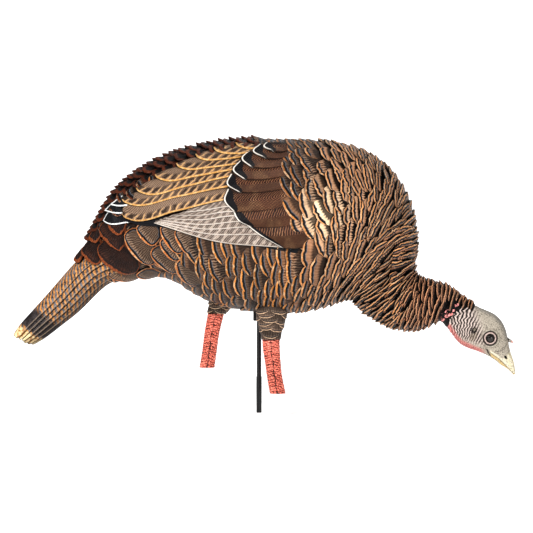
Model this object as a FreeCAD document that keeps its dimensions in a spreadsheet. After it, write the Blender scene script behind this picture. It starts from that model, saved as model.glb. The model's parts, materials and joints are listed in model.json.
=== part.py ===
"""A feeding hen turkey decoy: a hollow moulded rubber bird that turns freely on a two-piece ground stake.

Row frame, millimetres: +Z up, +X the way the bird faces, origin at the foot of the stake, on its axis.
"""
import FreeCAD, Part
import os
import Sketcher

Vector = FreeCAD.Vector

doc = FreeCAD.newDocument("turkey_decoy")
sheet = doc.addObject("Spreadsheet::Sheet", "Sheet")
sheet.Label = "Dimensions"

# Driving dimensions of the mechanical parts. Radii and heights along the stake's axis.
SIZES = {
    # ground stake: a tube that takes the thinner upper stake
    "lower_stake_radius": 4.25,
    "lower_stake_top": 58.0,
    "upper_stake_radius": 3.6,
    "upper_stake_bore": 2.6,
    "upper_stake_foot": 18.0,
    "upper_stake_top": 404.0,
    "slip": 0.06,
    "end_plug_length": 14.0,
    "tip_height": 3.0,
    # socket column inside the bird
    "collar_foot": 148.0,
    "collar_radius": 9.3,
    "flange_foot": 176.0,
    "flange_radius": 18.0,
    "flange_thick": 4.0,
    "tube_radius": 6.5,
    "tube_bore": 5.2,
    "bush_top": 160.0,
    "cap_stem_length": 1.0,
    "cup_foot": 396.0,
    "cup_radius": 5.12,
    "cup_top": 411.0,
    "cap_radius": 12.0,
    "cap_top": 418.0,
    "pad_radius": 28.0,
    "pad_reach": 40.0,
    # moulded shell; the two heights lie well under and well over the belly's skin, for cutting through it
    "skin": 2.4,
    "under_belly": 100.0,
    "over_belly": 230.0,
    "wing_proud": 4.5,
    "tail_wall": 2.4,
    "head_wall": 4.0,
    "eye_radius": 8.4,
    "eye_x": 369.0,
    "eye_z": 121.0,
    "eye_y": 15.6,
    "eye_gap": 0.05,
    # legs, in a leg's own frame: origin where the thigh meets the belly, leg hanging down
    "thigh_length": 39.0,
    "leg_peg_radius": 7.0,
    "leg_peg_root": 4.0,
    "spigot_radius": 8.0,
    "spigot_depth": 22.0,
    "spigot_proud": 4.0,
    "retainer_radius": 13.0,
    "retainer_thick": 4.0,
    "boss_radius": 16.0,
    "right_leg_x": 20.0,
    "right_leg_y": -32.0,
    "right_leg_z": 164.0,
    "right_leg_lean": 1.0,
    "right_peg_top": -18.0,
    "right_boss_top": 181.0,
    "left_leg_x": -70.0,
    "left_leg_y": 32.0,
    "left_leg_z": 201.0,
    "left_leg_lean": 9.6,
    "left_peg_top": -30.0,
    "left_boss_top": 196.0,
    # air valve in the belly, ahead of the stake
    "valve_x": 74.0,
    "valve_foot": 167.5,
    "valve_seat_radius": 7.0,
    "valve_bore": 4.05,
    "valve_boss_top": 180.0,
    "valve_flange_radius": 11.0,
    "valve_flange_thick": 3.0,
    "valve_stem_radius": 4.0,
    "valve_head_radius": 6.0,
    "valve_head_thick": 2.5,
}

# Rings of the moulded body, from the rump forwards over the breast and down the neck:
# a point on the back line, the matching point on the belly line, and half the width.
BODY_RINGS = [
    # back x, back z, belly x, belly z, half width
    (-292, 243, -236, 212, 30),
    (-258, 306, -206, 211, 50),
    (-222, 359, -165, 214, 72),
    (-165, 401, -130, 206, 92),
    (-95, 425, -85, 185, 107),
    (-15, 436, -20, 167, 116),
    (60, 436, 50, 163, 119),
    (120, 430, 100, 173, 115),
    (175, 411, 125, 182, 106),
    (218, 375, 139, 186, 92),
    (243, 324, 148, 186, 76),
    (249, 270, 156, 180, 58),
    (246, 229, 173, 163, 46),
    (261, 213, 214, 141, 41),
    (287, 207, 258, 135, 36),
    (308, 200, 288, 146, 27.5),
]

# Rings of the head, from the spigot inside the neck to the tip of the bill.
HEAD_RINGS = [
    (285, 196, 268, 151, 22),
    (306, 194, 291, 152, 21.5),
    (331, 182, 303, 136, 22),
    (354, 168, 321, 112, 23),
    (376, 159, 344, 101, 23.5),
    (391, 143, 362, 94, 21.5),
    (398, 122, 376, 86, 15.5),
    (402, 101, 388, 77, 10),
    (407, 82, 399, 70, 5.5),
    (410.5, 65, 408.5, 62, 1.6),
]

# The head is hollow along this many of its rings, and solid from the eyes on.
HOLLOW_HEAD_RINGS = 4

# Rings of the closed tail, from the root inside the rump to the tip.
TAIL_RINGS = [
    (-254, 279, -211, 236, 26),
    (-283, 248, -242, 209, 26),
    (-326, 205, -287, 165, 26),
    (-360, 166, -327, 133, 21),
    (-394, 125, -371, 108, 14),
]

# Rings of one leg, in the leg's own frame: height, centre ahead of the leg's axis, half length, half width.
THIGH_RINGS = [
    (30, 0, 26, 22),
    (0, 0, 24.5, 21),
    (-22, 0, 20, 18),
    (-39, 0, 16, 14.5),
]
SHANK_RINGS = [
    (-39, 0, 14.4, 12.5),
    (-62, 1.5, 12.1, 10.8),
    (-98, 5, 11.6, 10.4),
    (-131, 9, 12.4, 10.8),
]

# Outline of a folded wing seen from the side (x, z), from the tip along the lower edge, up the front and back.
WING_OUTLINE = [
    (-247, 312),
    (-190, 306),
    (-110, 292),
    (-20, 268),
    (70, 258),
    (98, 330),
    (60, 410),
    (-10, 433),
    (-90, 416),
    (-180, 362),
]


def fill_sheet():
    """Writes every driving dimension to the sheet, each with an alias."""
    values = dict(SIZES)
    for group, rings in (("body", BODY_RINGS), ("head", HEAD_RINGS), ("tail", TAIL_RINGS)):
        for number, ring in enumerate(rings):
            for side, value in zip(("back_x", "back_z", "belly_x", "belly_z", "wide"), ring):
                values[f"{group}_{number:02d}_{side}"] = value
    for group, rings in (("thigh", THIGH_RINGS), ("shank", SHANK_RINGS)):
        for number, ring in enumerate(rings):
            for side, value in zip(("height", "ahead", "long", "wide"), ring):
                values[f"{group}_{number:02d}_{side}"] = value
    for row, (alias, value) in enumerate(values.items(), 1):
        sheet.set(f"A{row}", alias)
        sheet.set(f"B{row}", str(value))
        sheet.setAlias(f"B{row}", alias)
    doc.recompute()


def bind(obj, **formulas):
    """Binds properties to formulas. In a name, a double underscore stands for a dot."""
    for name, formula in formulas.items():
        obj.setExpression(name.replace("__", "."), formula)
    return obj


def s(alias):
    return "Sheet." + alias


# ---------------------------------------------------------------- lofted shapes
def ring(name, key, grow="0", shift=(0, 0)):
    """An ellipse between a ring's back point and belly point, its radii larger by grow, moved along X and Z."""
    run = f"({s(key)}_back_x - {s(key)}_belly_x)"
    rise = f"({s(key)}_back_z - {s(key)}_belly_z)"
    e = doc.addObject("Part::Ellipse", name)
    e.MajorRadius, e.MinorRadius = 500, 1  # the sheet sets both
    e.Placement = FreeCAD.Placement(Vector(), FreeCAD.Rotation(Vector(0, -1, 0), 90))
    return bind(
        e,
        Placement__Base__x=f"({s(key)}_back_x + {s(key)}_belly_x) / 2 + {shift[0]}",
        Placement__Base__z=f"({s(key)}_back_z + {s(key)}_belly_z) / 2 + {shift[1]}",
        Placement__Rotation__Angle=f"90 deg - atan2({run}; {rise})",
        MajorRadius=f"sqrt({run}^2 + {rise}^2) / 2 + {grow}",
        MinorRadius=f"{s(key)}_wide + {grow}",
    )


def loft(name, rings):
    """A smooth solid through the rings."""
    solid = doc.addObject("Part::Loft", name)
    solid.Sections = rings
    solid.Solid = True
    solid.Ruled = False
    return solid


def ringed(name, group, count, grow="0", first_shift=(0, 0), last_shift=(0, 0)):
    """The loft through a group's first rings, grown, its two end rings moved along X and Z."""
    shifts = {0: first_shift, count - 1: last_shift}
    return loft(
        name,
        [ring(f"{name}_{i:02d}", f"{group}_{i:02d}", grow, shifts.get(i, (0, 0))) for i in range(count)],
    )


def limb(name, group, count):
    """The loft through horizontal ellipses of a leg part, in the leg's own frame."""
    rings = []
    for number in range(count):
        key = f"{group}_{number:02d}"
        e = doc.addObject("Part::Ellipse", f"{name}_{number:02d}")
        e.MajorRadius, e.MinorRadius = 500, 1
        bind(
            e,
            Placement__Base__x=f"{s(key)}_ahead",
            Placement__Base__z=f"{s(key)}_height",
            MajorRadius=f"{s(key)}_long",
            MinorRadius=f"{s(key)}_wide",
        )
        rings.append(e)
    return loft(name, rings)


# ---------------------------------------------------------------- primitives and booleans
def cylinder(name, radius, foot, top, x="0", y="0"):
    """A vertical cylinder between two heights."""
    c = doc.addObject("Part::Cylinder", name)
    return bind(
        c,
        Radius=radius,
        Height=f"{top} - ({foot})",
        Placement__Base__x=x,
        Placement__Base__y=y,
        Placement__Base__z=foot,
    )


def box(name, low, high):
    """A box between two corners, for trimming."""
    b = doc.addObject("Part::Box", name)
    b.Length, b.Width, b.Height = (h - l for l, h in zip(low, high))
    b.Placement.Base = Vector(*low)
    return b


def cut(name, base, tool):
    c = doc.addObject("Part::Cut", name)
    c.Base, c.Tool = base, tool
    return c


def common(name, base, tool):
    c = doc.addObject("Part::Common", name)
    c.Base, c.Tool = base, tool
    return c


def fuse(name, *shapes):
    f = doc.addObject("Part::MultiFuse", name)
    f.Shapes = list(shapes)
    return f


# ---------------------------------------------------------------- turned parts
def plane(body, role):
    return next(f for f in body.Origin.OriginFeatures if f.Role == role)


def turned(label, steps, x="0", y="0", rounded=None):
    """A PartDesign body of stacked round pads about a vertical axis.

    Each step is (outer radius, bore radius or None, foot, top), all of them formulas.
    rounded is (height formula of the rim, fillet radius) for a domed end.
    """
    body = doc.addObject("PartDesign::Body", label)
    body.Label = label
    for number, (outer, bore, foot, top) in enumerate(steps):
        sketch = body.newObject("Sketcher::SketchObject", f"{label}_sketch_{number}")
        sketch.AttachmentSupport = [(plane(body, "XY_Plane"), "")]
        sketch.MapMode = "FlatFace"
        bind(
            sketch,
            AttachmentOffset__Base__x=x,
            AttachmentOffset__Base__y=y,
            AttachmentOffset__Base__z=foot,
        )
        for radius in (outer, bore):
            if radius is None:
                continue
            circle = sketch.addGeometry(Part.Circle(Vector(), Vector(0, 0, 1), 5.0), False)
            sketch.addConstraint(Sketcher.Constraint("Coincident", circle, 3, -1, 1))
            index = sketch.addConstraint(Sketcher.Constraint("Radius", circle, 5.0))
            sketch.setExpression(f"Constraints[{index}]", radius)
        pad = body.newObject("PartDesign::Pad", f"{label}_pad_{number}")
        pad.Profile = sketch
        bind(pad, Length=f"{top} - ({foot})")
        doc.recompute()
    if rounded:
        height, radius = rounded
        base = body.Tip
        rims = [
            f"Edge{i}"
            for i, edge in enumerate(base.Shape.Edges, 1)
            if edge.Closed and abs(edge.BoundBox.ZMin - height) < 1e-6 and edge.BoundBox.ZLength < 1e-6
        ]
        fillet = body.newObject("PartDesign::Fillet", f"{label}_dome")
        fillet.Base = (base, rims)
        fillet.Radius = radius
        doc.recompute()
    return body


def make_stake():
    """The two-piece ground stake: a foot plug and a tube, and a thin upper stake with both its ends closed."""
    foot, top = s("upper_stake_foot"), s("upper_stake_top")
    bore = f"{s('upper_stake_radius')} + {s('slip')}"
    outer, inner = s("upper_stake_radius"), s("upper_stake_bore")
    end_foot = f"{foot} + 2"
    return [
        turned("lower_stake", [(s("lower_stake_radius"), bore, "0", s("lower_stake_top"))]),
        turned("stake_foot_plug", [(bore, None, "0", foot)]),
        turned("upper_stake", [(outer, inner, end_foot, top)]),
        turned(
            "upper_stake_end_plug",
            [(outer, None, foot, end_foot), (inner, None, end_foot, f"{foot} + {s('end_plug_length')}")],
        ),
        turned(
            "stake_tip",
            [(inner, None, f"{top} - {s('end_plug_length')}", top), (outer, None, top, f"{top} + {s('tip_height')}")],
            rounded=(SIZES["upper_stake_top"] + SIZES["tip_height"], 2.4),
        ),
    ]


def make_socket(inside):
    """The column inside the bird that the stake goes up: collar, bush, tube, swivel cup, cap and back pad."""
    tip_top = f"{s('upper_stake_top')} + {s('tip_height')}"
    flange_top = f"{s('flange_foot')} + {s('flange_thick')}"
    collar = turned(
        "socket_collar",
        [
            (s("collar_radius"), s("tube_radius"), s("collar_foot"), s("flange_foot")),
            (s("flange_radius"), s("tube_radius"), s("flange_foot"), flange_top),
        ],
    )
    bush = turned(
        "stake_bush",
        [(s("tube_radius"), f"{s('upper_stake_radius')} + {s('slip')}", s("collar_foot"), s("bush_top"))],
    )
    cap_seat = f"{s('cup_top')} + {s('cap_stem_length')}"
    tube = turned("socket_tube", [(s("tube_radius"), s("tube_bore"), s("bush_top"), cap_seat)])
    cup = turned(
        "pivot_cup",
        [
            (s("cup_radius"), f"{s('upper_stake_radius')} + {s('slip')}", s("cup_foot"), tip_top),
            (s("cup_radius"), None, tip_top, s("cup_top")),
        ],
    )
    cap = turned(
        "socket_cap",
        [
            (s("tube_bore"), None, s("cup_top"), cap_seat),
            (s("cap_radius"), None, cap_seat, s("cap_top")),
        ],
    )
    puck = cylinder("back_puck", s("pad_radius"), s("cap_top"), f"{s('cap_top')} + {s('pad_reach')}")
    pad = common("back_pad", inside, puck)
    return [collar, bush, tube, cup, cap, pad]


def leg_seat(side):
    return {axis: s(f"{side}_leg_{axis}") for axis in "xyz"}


def make_shell(outside, inside):
    """The moulded skin: hollow but for solid bosses where parts pass through the belly."""
    low, high = s("under_belly"), s("over_belly")
    valve_boss = f"{s('valve_flange_radius')} + 3"
    bosses = [
        cylinder("collar_boss", s("flange_radius"), low, s("flange_foot")),
        cylinder("valve_boss", valve_boss, low, s("valve_boss_top"), s("valve_x")),
    ]
    holes = [
        cylinder("collar_hole", s("collar_radius"), low, high),
        cylinder("valve_hole", s("valve_seat_radius"), low, high, s("valve_x")),
    ]
    for side in ("right", "left"):
        at = leg_seat(side)
        bosses.append(cylinder(f"{side}_boss", s("boss_radius"), low, s(f"{side}_boss_top"), at["x"], at["y"]))
        holes.append(cylinder(f"{side}_hole", s("spigot_radius"), low, high, at["x"], at["y"]))
    hollow = cut("hollow", inside, fuse("bosses", *bosses))
    return cut("body_shell", cut("bossed_skin", outside, hollow), fuse("belly_holes", *holes))


def make_wings(outside):
    """Two raised wing mouldings that lie on the body's sides."""
    proud = ringed("wing_blank", "body", 10, s("wing_proud"))
    layer = cut("wing_layer", proud, outside)
    points = [Vector(x, 0, z) for x, z in WING_OUTLINE]
    edge = Part.BSplineCurve()
    edge.interpolate(points, PeriodicFlag=True)
    outline = doc.addObject("Part::Feature", "wing_outline")
    outline.Shape = Part.Face(Part.Wire(edge.toShape()))
    wings = []
    for side, sign in (("right", -1), ("left", 1)):
        prism = doc.addObject("Part::Extrusion", f"{side}_wing_prism")
        prism.Base = outline
        prism.Dir = Vector(0, sign, 0)
        prism.LengthFwd = 200
        prism.Solid = True
        wings.append(common(f"{side}_wing", layer, prism))
    return wings


def make_tail(inside):
    """The closed tail fan, a hollow moulding, and the sleeve that holds its root in the rump."""
    outer = ringed("tail_outside", "tail", len(TAIL_RINGS))
    inner = ringed("tail_inside", "tail", len(TAIL_RINGS), f"-{s('tail_wall')}", (2, 2), (4, 4))
    tail = cut("tail_fan", outer, inner)
    slab = box("sleeve_slab", (-300, -60, 205), (-235, 60, 300))
    sleeve = cut("tail_sleeve", common("sleeve_blank", inside, slab), outer)
    return [tail, sleeve]


def make_head(inside):
    """The head with the bill, its two eyes, and the ring that holds its spigot in the neck."""
    blank = ringed("head_blank", "head", len(HEAD_RINGS))
    eyes, sockets = [], []
    for side, sign in (("right", "-"), ("left", "")):
        for kind, grow in (("eye", "0"), ("eye_socket", s("eye_gap"))):
            ball = doc.addObject("Part::Sphere", f"{side}_{kind}")
            bind(
                ball,
                Radius=f"{s('eye_radius')} + {grow}",
                Placement__Base__x=s("eye_x"),
                Placement__Base__y=f"{sign}{s('eye_y')}",
                Placement__Base__z=s("eye_z"),
            )
            (eyes if kind == "eye" else sockets).append(ball)
    hollow = ringed("head_hollow", "head", HOLLOW_HEAD_RINGS, f"-{s('head_wall')}", (-2, 1), (-4, 3))
    head = cut("head", cut("hollow_head", blank, hollow), fuse("eye_sockets", *sockets))
    slab = box("ring_slab", (278, -60, 130), (320, 60, 230))
    ring_blank = common("ring_blank", inside, slab)
    return [head, *eyes, cut("neck_ring", ring_blank, blank)]


def place_leg(shape, side):
    """Hangs a leg part from the belly: the right leg leans forwards and the left leg leans back."""
    lean_axis = Vector(0, -1 if side == "right" else 1, 0)
    shape.Placement = FreeCAD.Placement(Vector(), FreeCAD.Rotation(lean_axis, 10))
    bind(
        shape,
        Placement__Base__x=s(f"{side}_leg_x"),
        Placement__Base__y=s(f"{side}_leg_y"),
        Placement__Base__z=s(f"{side}_leg_z"),
        Placement__Rotation__Angle=s(f"{side}_leg_lean"),
    )
    return shape


def make_leg(side, outside):
    """A feathered thigh that is held in the belly by a spigot and a retaining ring, and the bare leg under it."""
    peg_top, low = s(f"{side}_peg_top"), f"-{s('thigh_length')}"
    at = leg_seat(side)
    boss_top = s(f"{side}_boss_top")
    peg_hole = cylinder(f"{side}_peg_hole", s("leg_peg_radius"), f"{low} - {s('leg_peg_root')}", peg_top)
    cuff = place_leg(cut(f"{side}_cuff", limb(f"{side}_cuff_blank", "thigh", len(THIGH_RINGS)), peg_hole), side)
    spigot_foot = f"{boss_top} - {s('spigot_depth')}"
    spigot_top = f"{boss_top} + {s('retainer_thick')} + {s('spigot_proud')}"
    spigot = cylinder(f"{side}_spigot", s("spigot_radius"), spigot_foot, spigot_top, at["x"], at["y"])
    thigh = fuse(f"{side}_thigh", cut(f"{side}_cuff_trimmed", cuff, outside), spigot)
    peg = cylinder(f"{side}_peg", s("leg_peg_radius"), f"{low} - {s('leg_peg_root')}", peg_top)
    leg = fuse(f"{side}_leg_blank", limb(f"{side}_shank", "shank", len(SHANK_RINGS)), peg)
    leg.Label = f"{side}_leg"
    place_leg(leg, side)
    ring_part = turned(
        f"{side}_leg_retainer",
        [(s("retainer_radius"), s("spigot_radius"), boss_top, f"{boss_top} + {s('retainer_thick')}")],
        at["x"],
        at["y"],
    )
    return [thigh, leg, ring_part]


def make_valve():
    """The seat that the bird is filled through, and its plug."""
    foot, top = s("valve_foot"), s("valve_boss_top")
    flange_top = f"{top} + {s('valve_flange_thick')}"
    seat = turned(
        "valve_seat",
        [
            (s("valve_seat_radius"), s("valve_bore"), foot, top),
            (s("valve_flange_radius"), s("valve_bore"), top, flange_top),
        ],
        s("valve_x"),
    )
    plug = turned(
        "valve_plug",
        [
            (s("valve_stem_radius"), None, foot, flange_top),
            (s("valve_head_radius"), None, f"{foot} - {s('valve_head_thick')}", foot),
        ],
        s("valve_x"),
    )
    return [seat, plug]


def write(parts):
    """Checks every object and each sub-part's shape, then writes one STEP file per sub-part."""
    doc.recompute()
    bad = [o.Name for o in doc.Objects if "Invalid" in o.State or "Error" in o.State]
    if bad:
        raise RuntimeError(f"these objects failed: {bad}")
    os.makedirs("parts", exist_ok=True)
    for old in os.listdir("parts"):
        if old.endswith(".step"):
            os.remove(os.path.join("parts", old))
    for part in parts:
        shape = part.Shape
        if shape.isNull() or not shape.isValid() or not shape.Solids:
            raise RuntimeError(f"{part.Label} has no valid solid")
        print(f"{part.Label}: {len(shape.Solids)} solid, {shape.Volume / 1000:.2f} cm3")
        shape.exportStep(os.path.join("parts", part.Label + ".step"))


def main():
    fill_sheet()
    count = len(BODY_RINGS)
    outside = ringed("body_outside", "body", count)
    inside = ringed("body_inside", "body", count, f"-{s('skin')}", (-1, -2), (2, -1))
    doc.recompute()
    parts = make_stake() + make_socket(inside)
    parts.append(make_shell(outside, inside))
    parts += make_wings(outside) + make_tail(inside) + make_head(inside)
    for side in ("right", "left"):
        parts += make_leg(side, outside)
    parts += make_valve()
    write(parts)


main()
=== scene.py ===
"""Looks of the feeding hen turkey decoy: sculpted feathers, wings, tail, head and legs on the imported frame.

Tables and plain numbers are millimetres: +X is the way the bird faces, +Z is up, and its right side is at -Y.
"""
import json
import math

import bmesh
import bpy
import numpy as np
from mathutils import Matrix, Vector


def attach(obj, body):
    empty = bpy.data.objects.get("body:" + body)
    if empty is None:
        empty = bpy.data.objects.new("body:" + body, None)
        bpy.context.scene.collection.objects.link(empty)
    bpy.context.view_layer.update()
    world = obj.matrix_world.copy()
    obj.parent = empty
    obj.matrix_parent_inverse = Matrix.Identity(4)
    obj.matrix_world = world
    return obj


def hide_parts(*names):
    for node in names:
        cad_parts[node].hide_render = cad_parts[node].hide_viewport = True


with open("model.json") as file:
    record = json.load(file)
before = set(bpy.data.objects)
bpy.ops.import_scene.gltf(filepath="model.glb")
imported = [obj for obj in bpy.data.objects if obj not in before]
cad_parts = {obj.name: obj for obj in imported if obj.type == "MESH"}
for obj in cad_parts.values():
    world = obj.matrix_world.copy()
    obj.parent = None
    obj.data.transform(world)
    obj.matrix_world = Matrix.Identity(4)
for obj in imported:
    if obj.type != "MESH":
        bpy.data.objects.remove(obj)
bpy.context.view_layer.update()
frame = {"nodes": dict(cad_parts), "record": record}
MM = 0.001
TAU = 2 * math.pi
RIGHT, LEFT = 1, -1
SIDE_NAMES = {RIGHT: "right", LEFT: "left"}
# The camera, in metres: where it aims, how far off it stands, how much it looks down, and how wide a square
# it sees where it aims.
AIM = np.array([0.012, 0.0, 0.2347])
DISTANCE = 5.0
VIEW_TILT = math.radians(3)
VIEW_WIDTH = 0.853

# Rings of the body and neck under the feathers: x and z of a point on the back line and of the matching
# point on the belly line, half the width, and how much narrower the back end of the ring is than the belly
# end.
BODY_RINGS = [
    (-292, 243, -236, 212, 30, 0),
    (-258, 306, -206, 218, 50, 0),
    (-222, 358, -168, 222, 72, 0),
    (-165, 400, -134, 214, 92, 0),
    (-95, 424, -85, 185, 107, 0),
    (-15, 435, -20, 167, 116, 0),
    (60, 435, 50, 163, 119, 0),
    (120, 429, 100, 173, 115, 0),
    (175, 410, 125, 183, 106, 0),
    (216, 374, 139, 187, 93, 0.08),
    (241, 324, 148, 187, 78, 0.16),
    (247, 270, 156, 181, 62, 0.2),
    (245, 229, 173, 164, 50, 0.14),
    (259, 212, 212, 143, 42, 0.05),
    (285, 205, 256, 139, 35, 0),
    (306, 197, 285, 150, 27, 0),
    (331, 182, 300, 138, 23, 0),
    (356, 166, 321, 112, 23, 0),
]
# Where the body moulding stops inside the head, counted in rings.
NECK_END = 15.4

HEAD_RINGS = [
    (285, 196, 268, 151, 22, 0),
    (306, 194, 288, 151, 21.5, 0),
    (331, 182, 301, 137, 22, 0),
    (354, 169, 321, 112, 23, 0),
    (376, 159, 344, 101, 23.5, 0),
    (391, 143, 362, 94, 21.5, 0),
    (398, 122, 376, 86, 15.5, 0),
    (402, 101, 388, 77, 10, 0),
    (408, 82, 399, 70, 5.5, 0),
    (411, 63, 408, 61, 1.2, 0),
]

TAIL_RINGS = [
    (-254, 276, -205, 214, 49, 0),
    (-292, 241, -242, 208, 32, 0),
    (-324, 205, -282, 171, 23, 0),
    (-356, 169, -316, 143, 17, 0),
    (-381, 141, -345, 121, 13, 0),
    (-392, 124, -371, 107, 9, 0),
]


def smooth(low, high, value):
    """0 below low, 1 above high, and a smooth step between."""
    share = np.clip((value - low) / (high - low), 0, 1)
    return share * share * (3 - 2 * share)


def unit(vectors):
    return vectors / np.maximum(np.linalg.norm(vectors, axis=-1, keepdims=True), 1e-12)


def crossed(first, second):
    """Cross products of rows of flat vectors."""
    return first[:, 0] * second[:, 1] - first[:, 1] * second[:, 0]


def colour(text):
    """Linear red, green and blue of an sRGB colour written as six hex digits."""
    values = np.array([int(text[i:i + 2], 16) for i in (0, 2, 4)]) / 255
    return np.where(values <= 0.04045, values / 12.92, ((values + 0.055) / 1.055) ** 2.4)


def side_view(points):
    """Where points (m) are seen from the camera, as x and z (mm) in the plane of the bird's middle."""
    gap = points - AIM
    c, s = math.cos(VIEW_TILT), math.sin(VIEW_TILT)
    scale = DISTANCE / (DISTANCE + gap[..., 1] * c - gap[..., 2] * s)
    up = gap[..., 1] * s + gap[..., 2] * c
    return np.stack([AIM[0] + gap[..., 0] * scale, AIM[2] + up * scale], -1) / MM


class Tube:
    """A smooth closed skin through rings. A place on it is (t, angle): t counts rings, and the angle is 0 on
    the back line, a quarter turn on the right side and half a turn on the belly line."""

    def __init__(self, rings, middle=0.0, crease=None):
        self.rings = np.array(rings, float)
        self.rings[:, :5] *= MM
        self.last = len(rings) - 1
        self.middle = middle * MM
        self.crease = crease
        system = np.eye(len(rings))
        jump = np.zeros_like(self.rings)
        for i in range(1, self.last):
            system[i, i - 1:i + 2] = 1 / 6, 2 / 3, 1 / 6
            jump[i] = self.rings[i + 1] - 2 * self.rings[i] + self.rings[i - 1]
        self.bend = np.linalg.solve(system, jump)
        self.facing = 1.0
        half_way = np.array([self.last / 2])
        across = self.point(half_way, np.array([0.0])) - self.point(half_way, np.array([math.pi]))
        self.facing = float(np.sign((self.normal(half_way, np.array([0.0])) * across).sum()))

    def row(self, t):
        i = np.clip(t.astype(int), 0, self.last - 1)
        b = (t - i)[..., None]
        a = 1 - b
        curve = (a ** 3 - a) * self.bend[i] + (b ** 3 - b) * self.bend[i + 1]
        return a * self.rings[i] + b * self.rings[i + 1] + curve / 6

    def point(self, t, angle):
        row = self.row(np.asarray(t, float))
        mid = (row[..., :2] + row[..., 2:4]) / 2
        reach = (row[..., :2] - row[..., 2:4]) / 2
        along, out = np.cos(angle), np.sin(angle)
        wide = row[..., 4] * (1 - row[..., 5] * along)
        radial = np.stack([reach[..., 0] * along, -wide * out, reach[..., 1] * along], -1)
        if self.crease is not None:
            x, z = mid[..., 0] + radial[..., 0], mid[..., 1] + radial[..., 2]
            radial = radial * (1 - self.crease(x / MM, z / MM) * np.abs(out))[..., None]
        base = np.stack([mid[..., 0], np.full_like(wide, self.middle), mid[..., 1]], -1)
        return base + radial

    def slopes(self, t, angle):
        """How the point moves with t and with the angle."""
        step = 1e-3
        t_low, t_high = np.clip(t - step, 0, self.last), np.clip(t + step, 0, self.last)
        with_t = (self.point(t_high, angle) - self.point(t_low, angle)) / (t_high - t_low)[..., None]
        with_angle = (self.point(t, angle + step) - self.point(t, angle - step)) / (2 * step)
        return with_t, with_angle

    def normal(self, t, angle):
        with_t, with_angle = self.slopes(t, angle)
        return unit(np.cross(with_angle, with_t)) * self.facing

    def raised(self, t, angle, height):
        """Points that stand height (mm) off the skin."""
        return self.point(t, angle) + self.normal(t, angle) * (height * MM)[..., None]

    def step(self, t, angle, move):
        """Moves places on the skin by small vectors, as nearly as the skin allows."""
        with_t, with_angle = self.slopes(t, angle)
        e = (with_t * with_t).sum(-1)
        f = (with_t * with_angle).sum(-1)
        g = (with_angle * with_angle).sum(-1)
        p, q = (move * with_t).sum(-1), (move * with_angle).sum(-1)
        scale = np.maximum(e * g - f * f, 1e-16)
        t = np.clip(t + (g * p - f * q) / scale, 0.001, self.last - 0.001)
        return t, angle + (e * q - f * p) / scale

    def seen(self, t, angle):
        return side_view(self.point(t, angle))

    def locate(self, x, z):
        """The place on the right side that is seen at x, z (mm) in the side view: the nearest place of a
        coarse grid, then Newton steps that are kept where they come closer."""
        goal = np.stack([x.ravel(), z.ravel()], -1)
        grid = np.meshgrid(np.linspace(0, self.last, 120), np.linspace(0.02, math.pi - 0.02, 60))
        grid = np.stack([v.ravel() for v in grid], -1)
        seen = self.seen(*grid.T)
        place = grid[[((seen - aim) ** 2).sum(-1).argmin() for aim in goal]]
        best = ((self.seen(*place.T) - goal) ** 2).sum(-1)
        step = 1e-4
        for _ in range(8):
            miss = goal - self.seen(*place.T)
            with_t, with_angle = ((self.seen(*(place + nudge).T) - self.seen(*(place - nudge).T)) / (2 * step)
                                  for nudge in step * np.eye(2))
            det = crossed(with_t, with_angle)
            det = np.where(np.abs(det) < 1, 1, det)
            move = np.stack([crossed(miss, with_angle) / det, crossed(with_t, miss) / det], -1)
            tried = place + np.clip(move, (-0.3, -0.15), (0.3, 0.15))
            tried = np.clip(tried, 0.01, (self.last - 0.01, math.pi - 0.01))
            error = ((self.seen(*tried.T) - goal) ** 2).sum(-1)
            place = np.where((error < best)[:, None], tried, place)
            best = np.minimum(best, error)
        return place[:, 0].reshape(x.shape), place[:, 1].reshape(x.shape)


def neck_crease(x, z):
    """The fold where the neck leaves the breast, as a share of the radius."""
    across = np.exp(-((x - 205 - 0.12 * (z - 240)) / 7.0) ** 2)
    return 0.11 * across * smooth(200, 222, z) * (1 - smooth(262, 292, z))


BODY = Tube(BODY_RINGS, crease=neck_crease)
HEAD = Tube(HEAD_RINGS)
TAIL = Tube(TAIL_RINGS)


# ---------------------------------------------------------------- meshes
def mesh_object(name, points, faces, attributes, material, slot, replaces=(), mend=False):
    """A piece of the decoy from points and faces, with attributes on its points."""
    mesh = bpy.data.meshes.new(name)
    mesh.from_pydata(points.tolist(), [], faces)
    for key, values in attributes.items():
        values = np.asarray(values, np.float32)
        kind, field = ("FLOAT", "value") if values.ndim == 1 else ("FLOAT_VECTOR", "vector")
        if key.startswith("tint"):
            kind, field = "FLOAT_COLOR", "color"
            values = np.concatenate([values, np.ones((len(values), 1), np.float32)], 1)
        mesh.attributes.new(key, kind, "POINT").data.foreach_set(field, values.ravel())
    mesh.materials.append(material)
    if mend:
        draft = bmesh.new()
        draft.from_mesh(mesh)
        bmesh.ops.recalc_face_normals(draft, faces=draft.faces)
        draft.to_mesh(mesh)
        draft.free()
    mesh.polygons.foreach_set("use_smooth", [True] * len(mesh.polygons))
    mesh.update()
    obj = bpy.data.objects.new(name, mesh)
    bpy.context.collection.objects.link(obj)
    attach(obj, "decoy")
    if replaces:
        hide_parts(*replaces)


def grid_faces(rows, columns, wrap=False):
    faces = []
    for i in range(rows - 1):
        for j in range(columns if wrap else columns - 1):
            k = (j + 1) % columns
            a, b = i * columns, (i + 1) * columns
            faces.append((a + j, a + k, b + k, b + j))
    return faces


def turned(faces):
    return [face[::-1] for face in faces]


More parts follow.
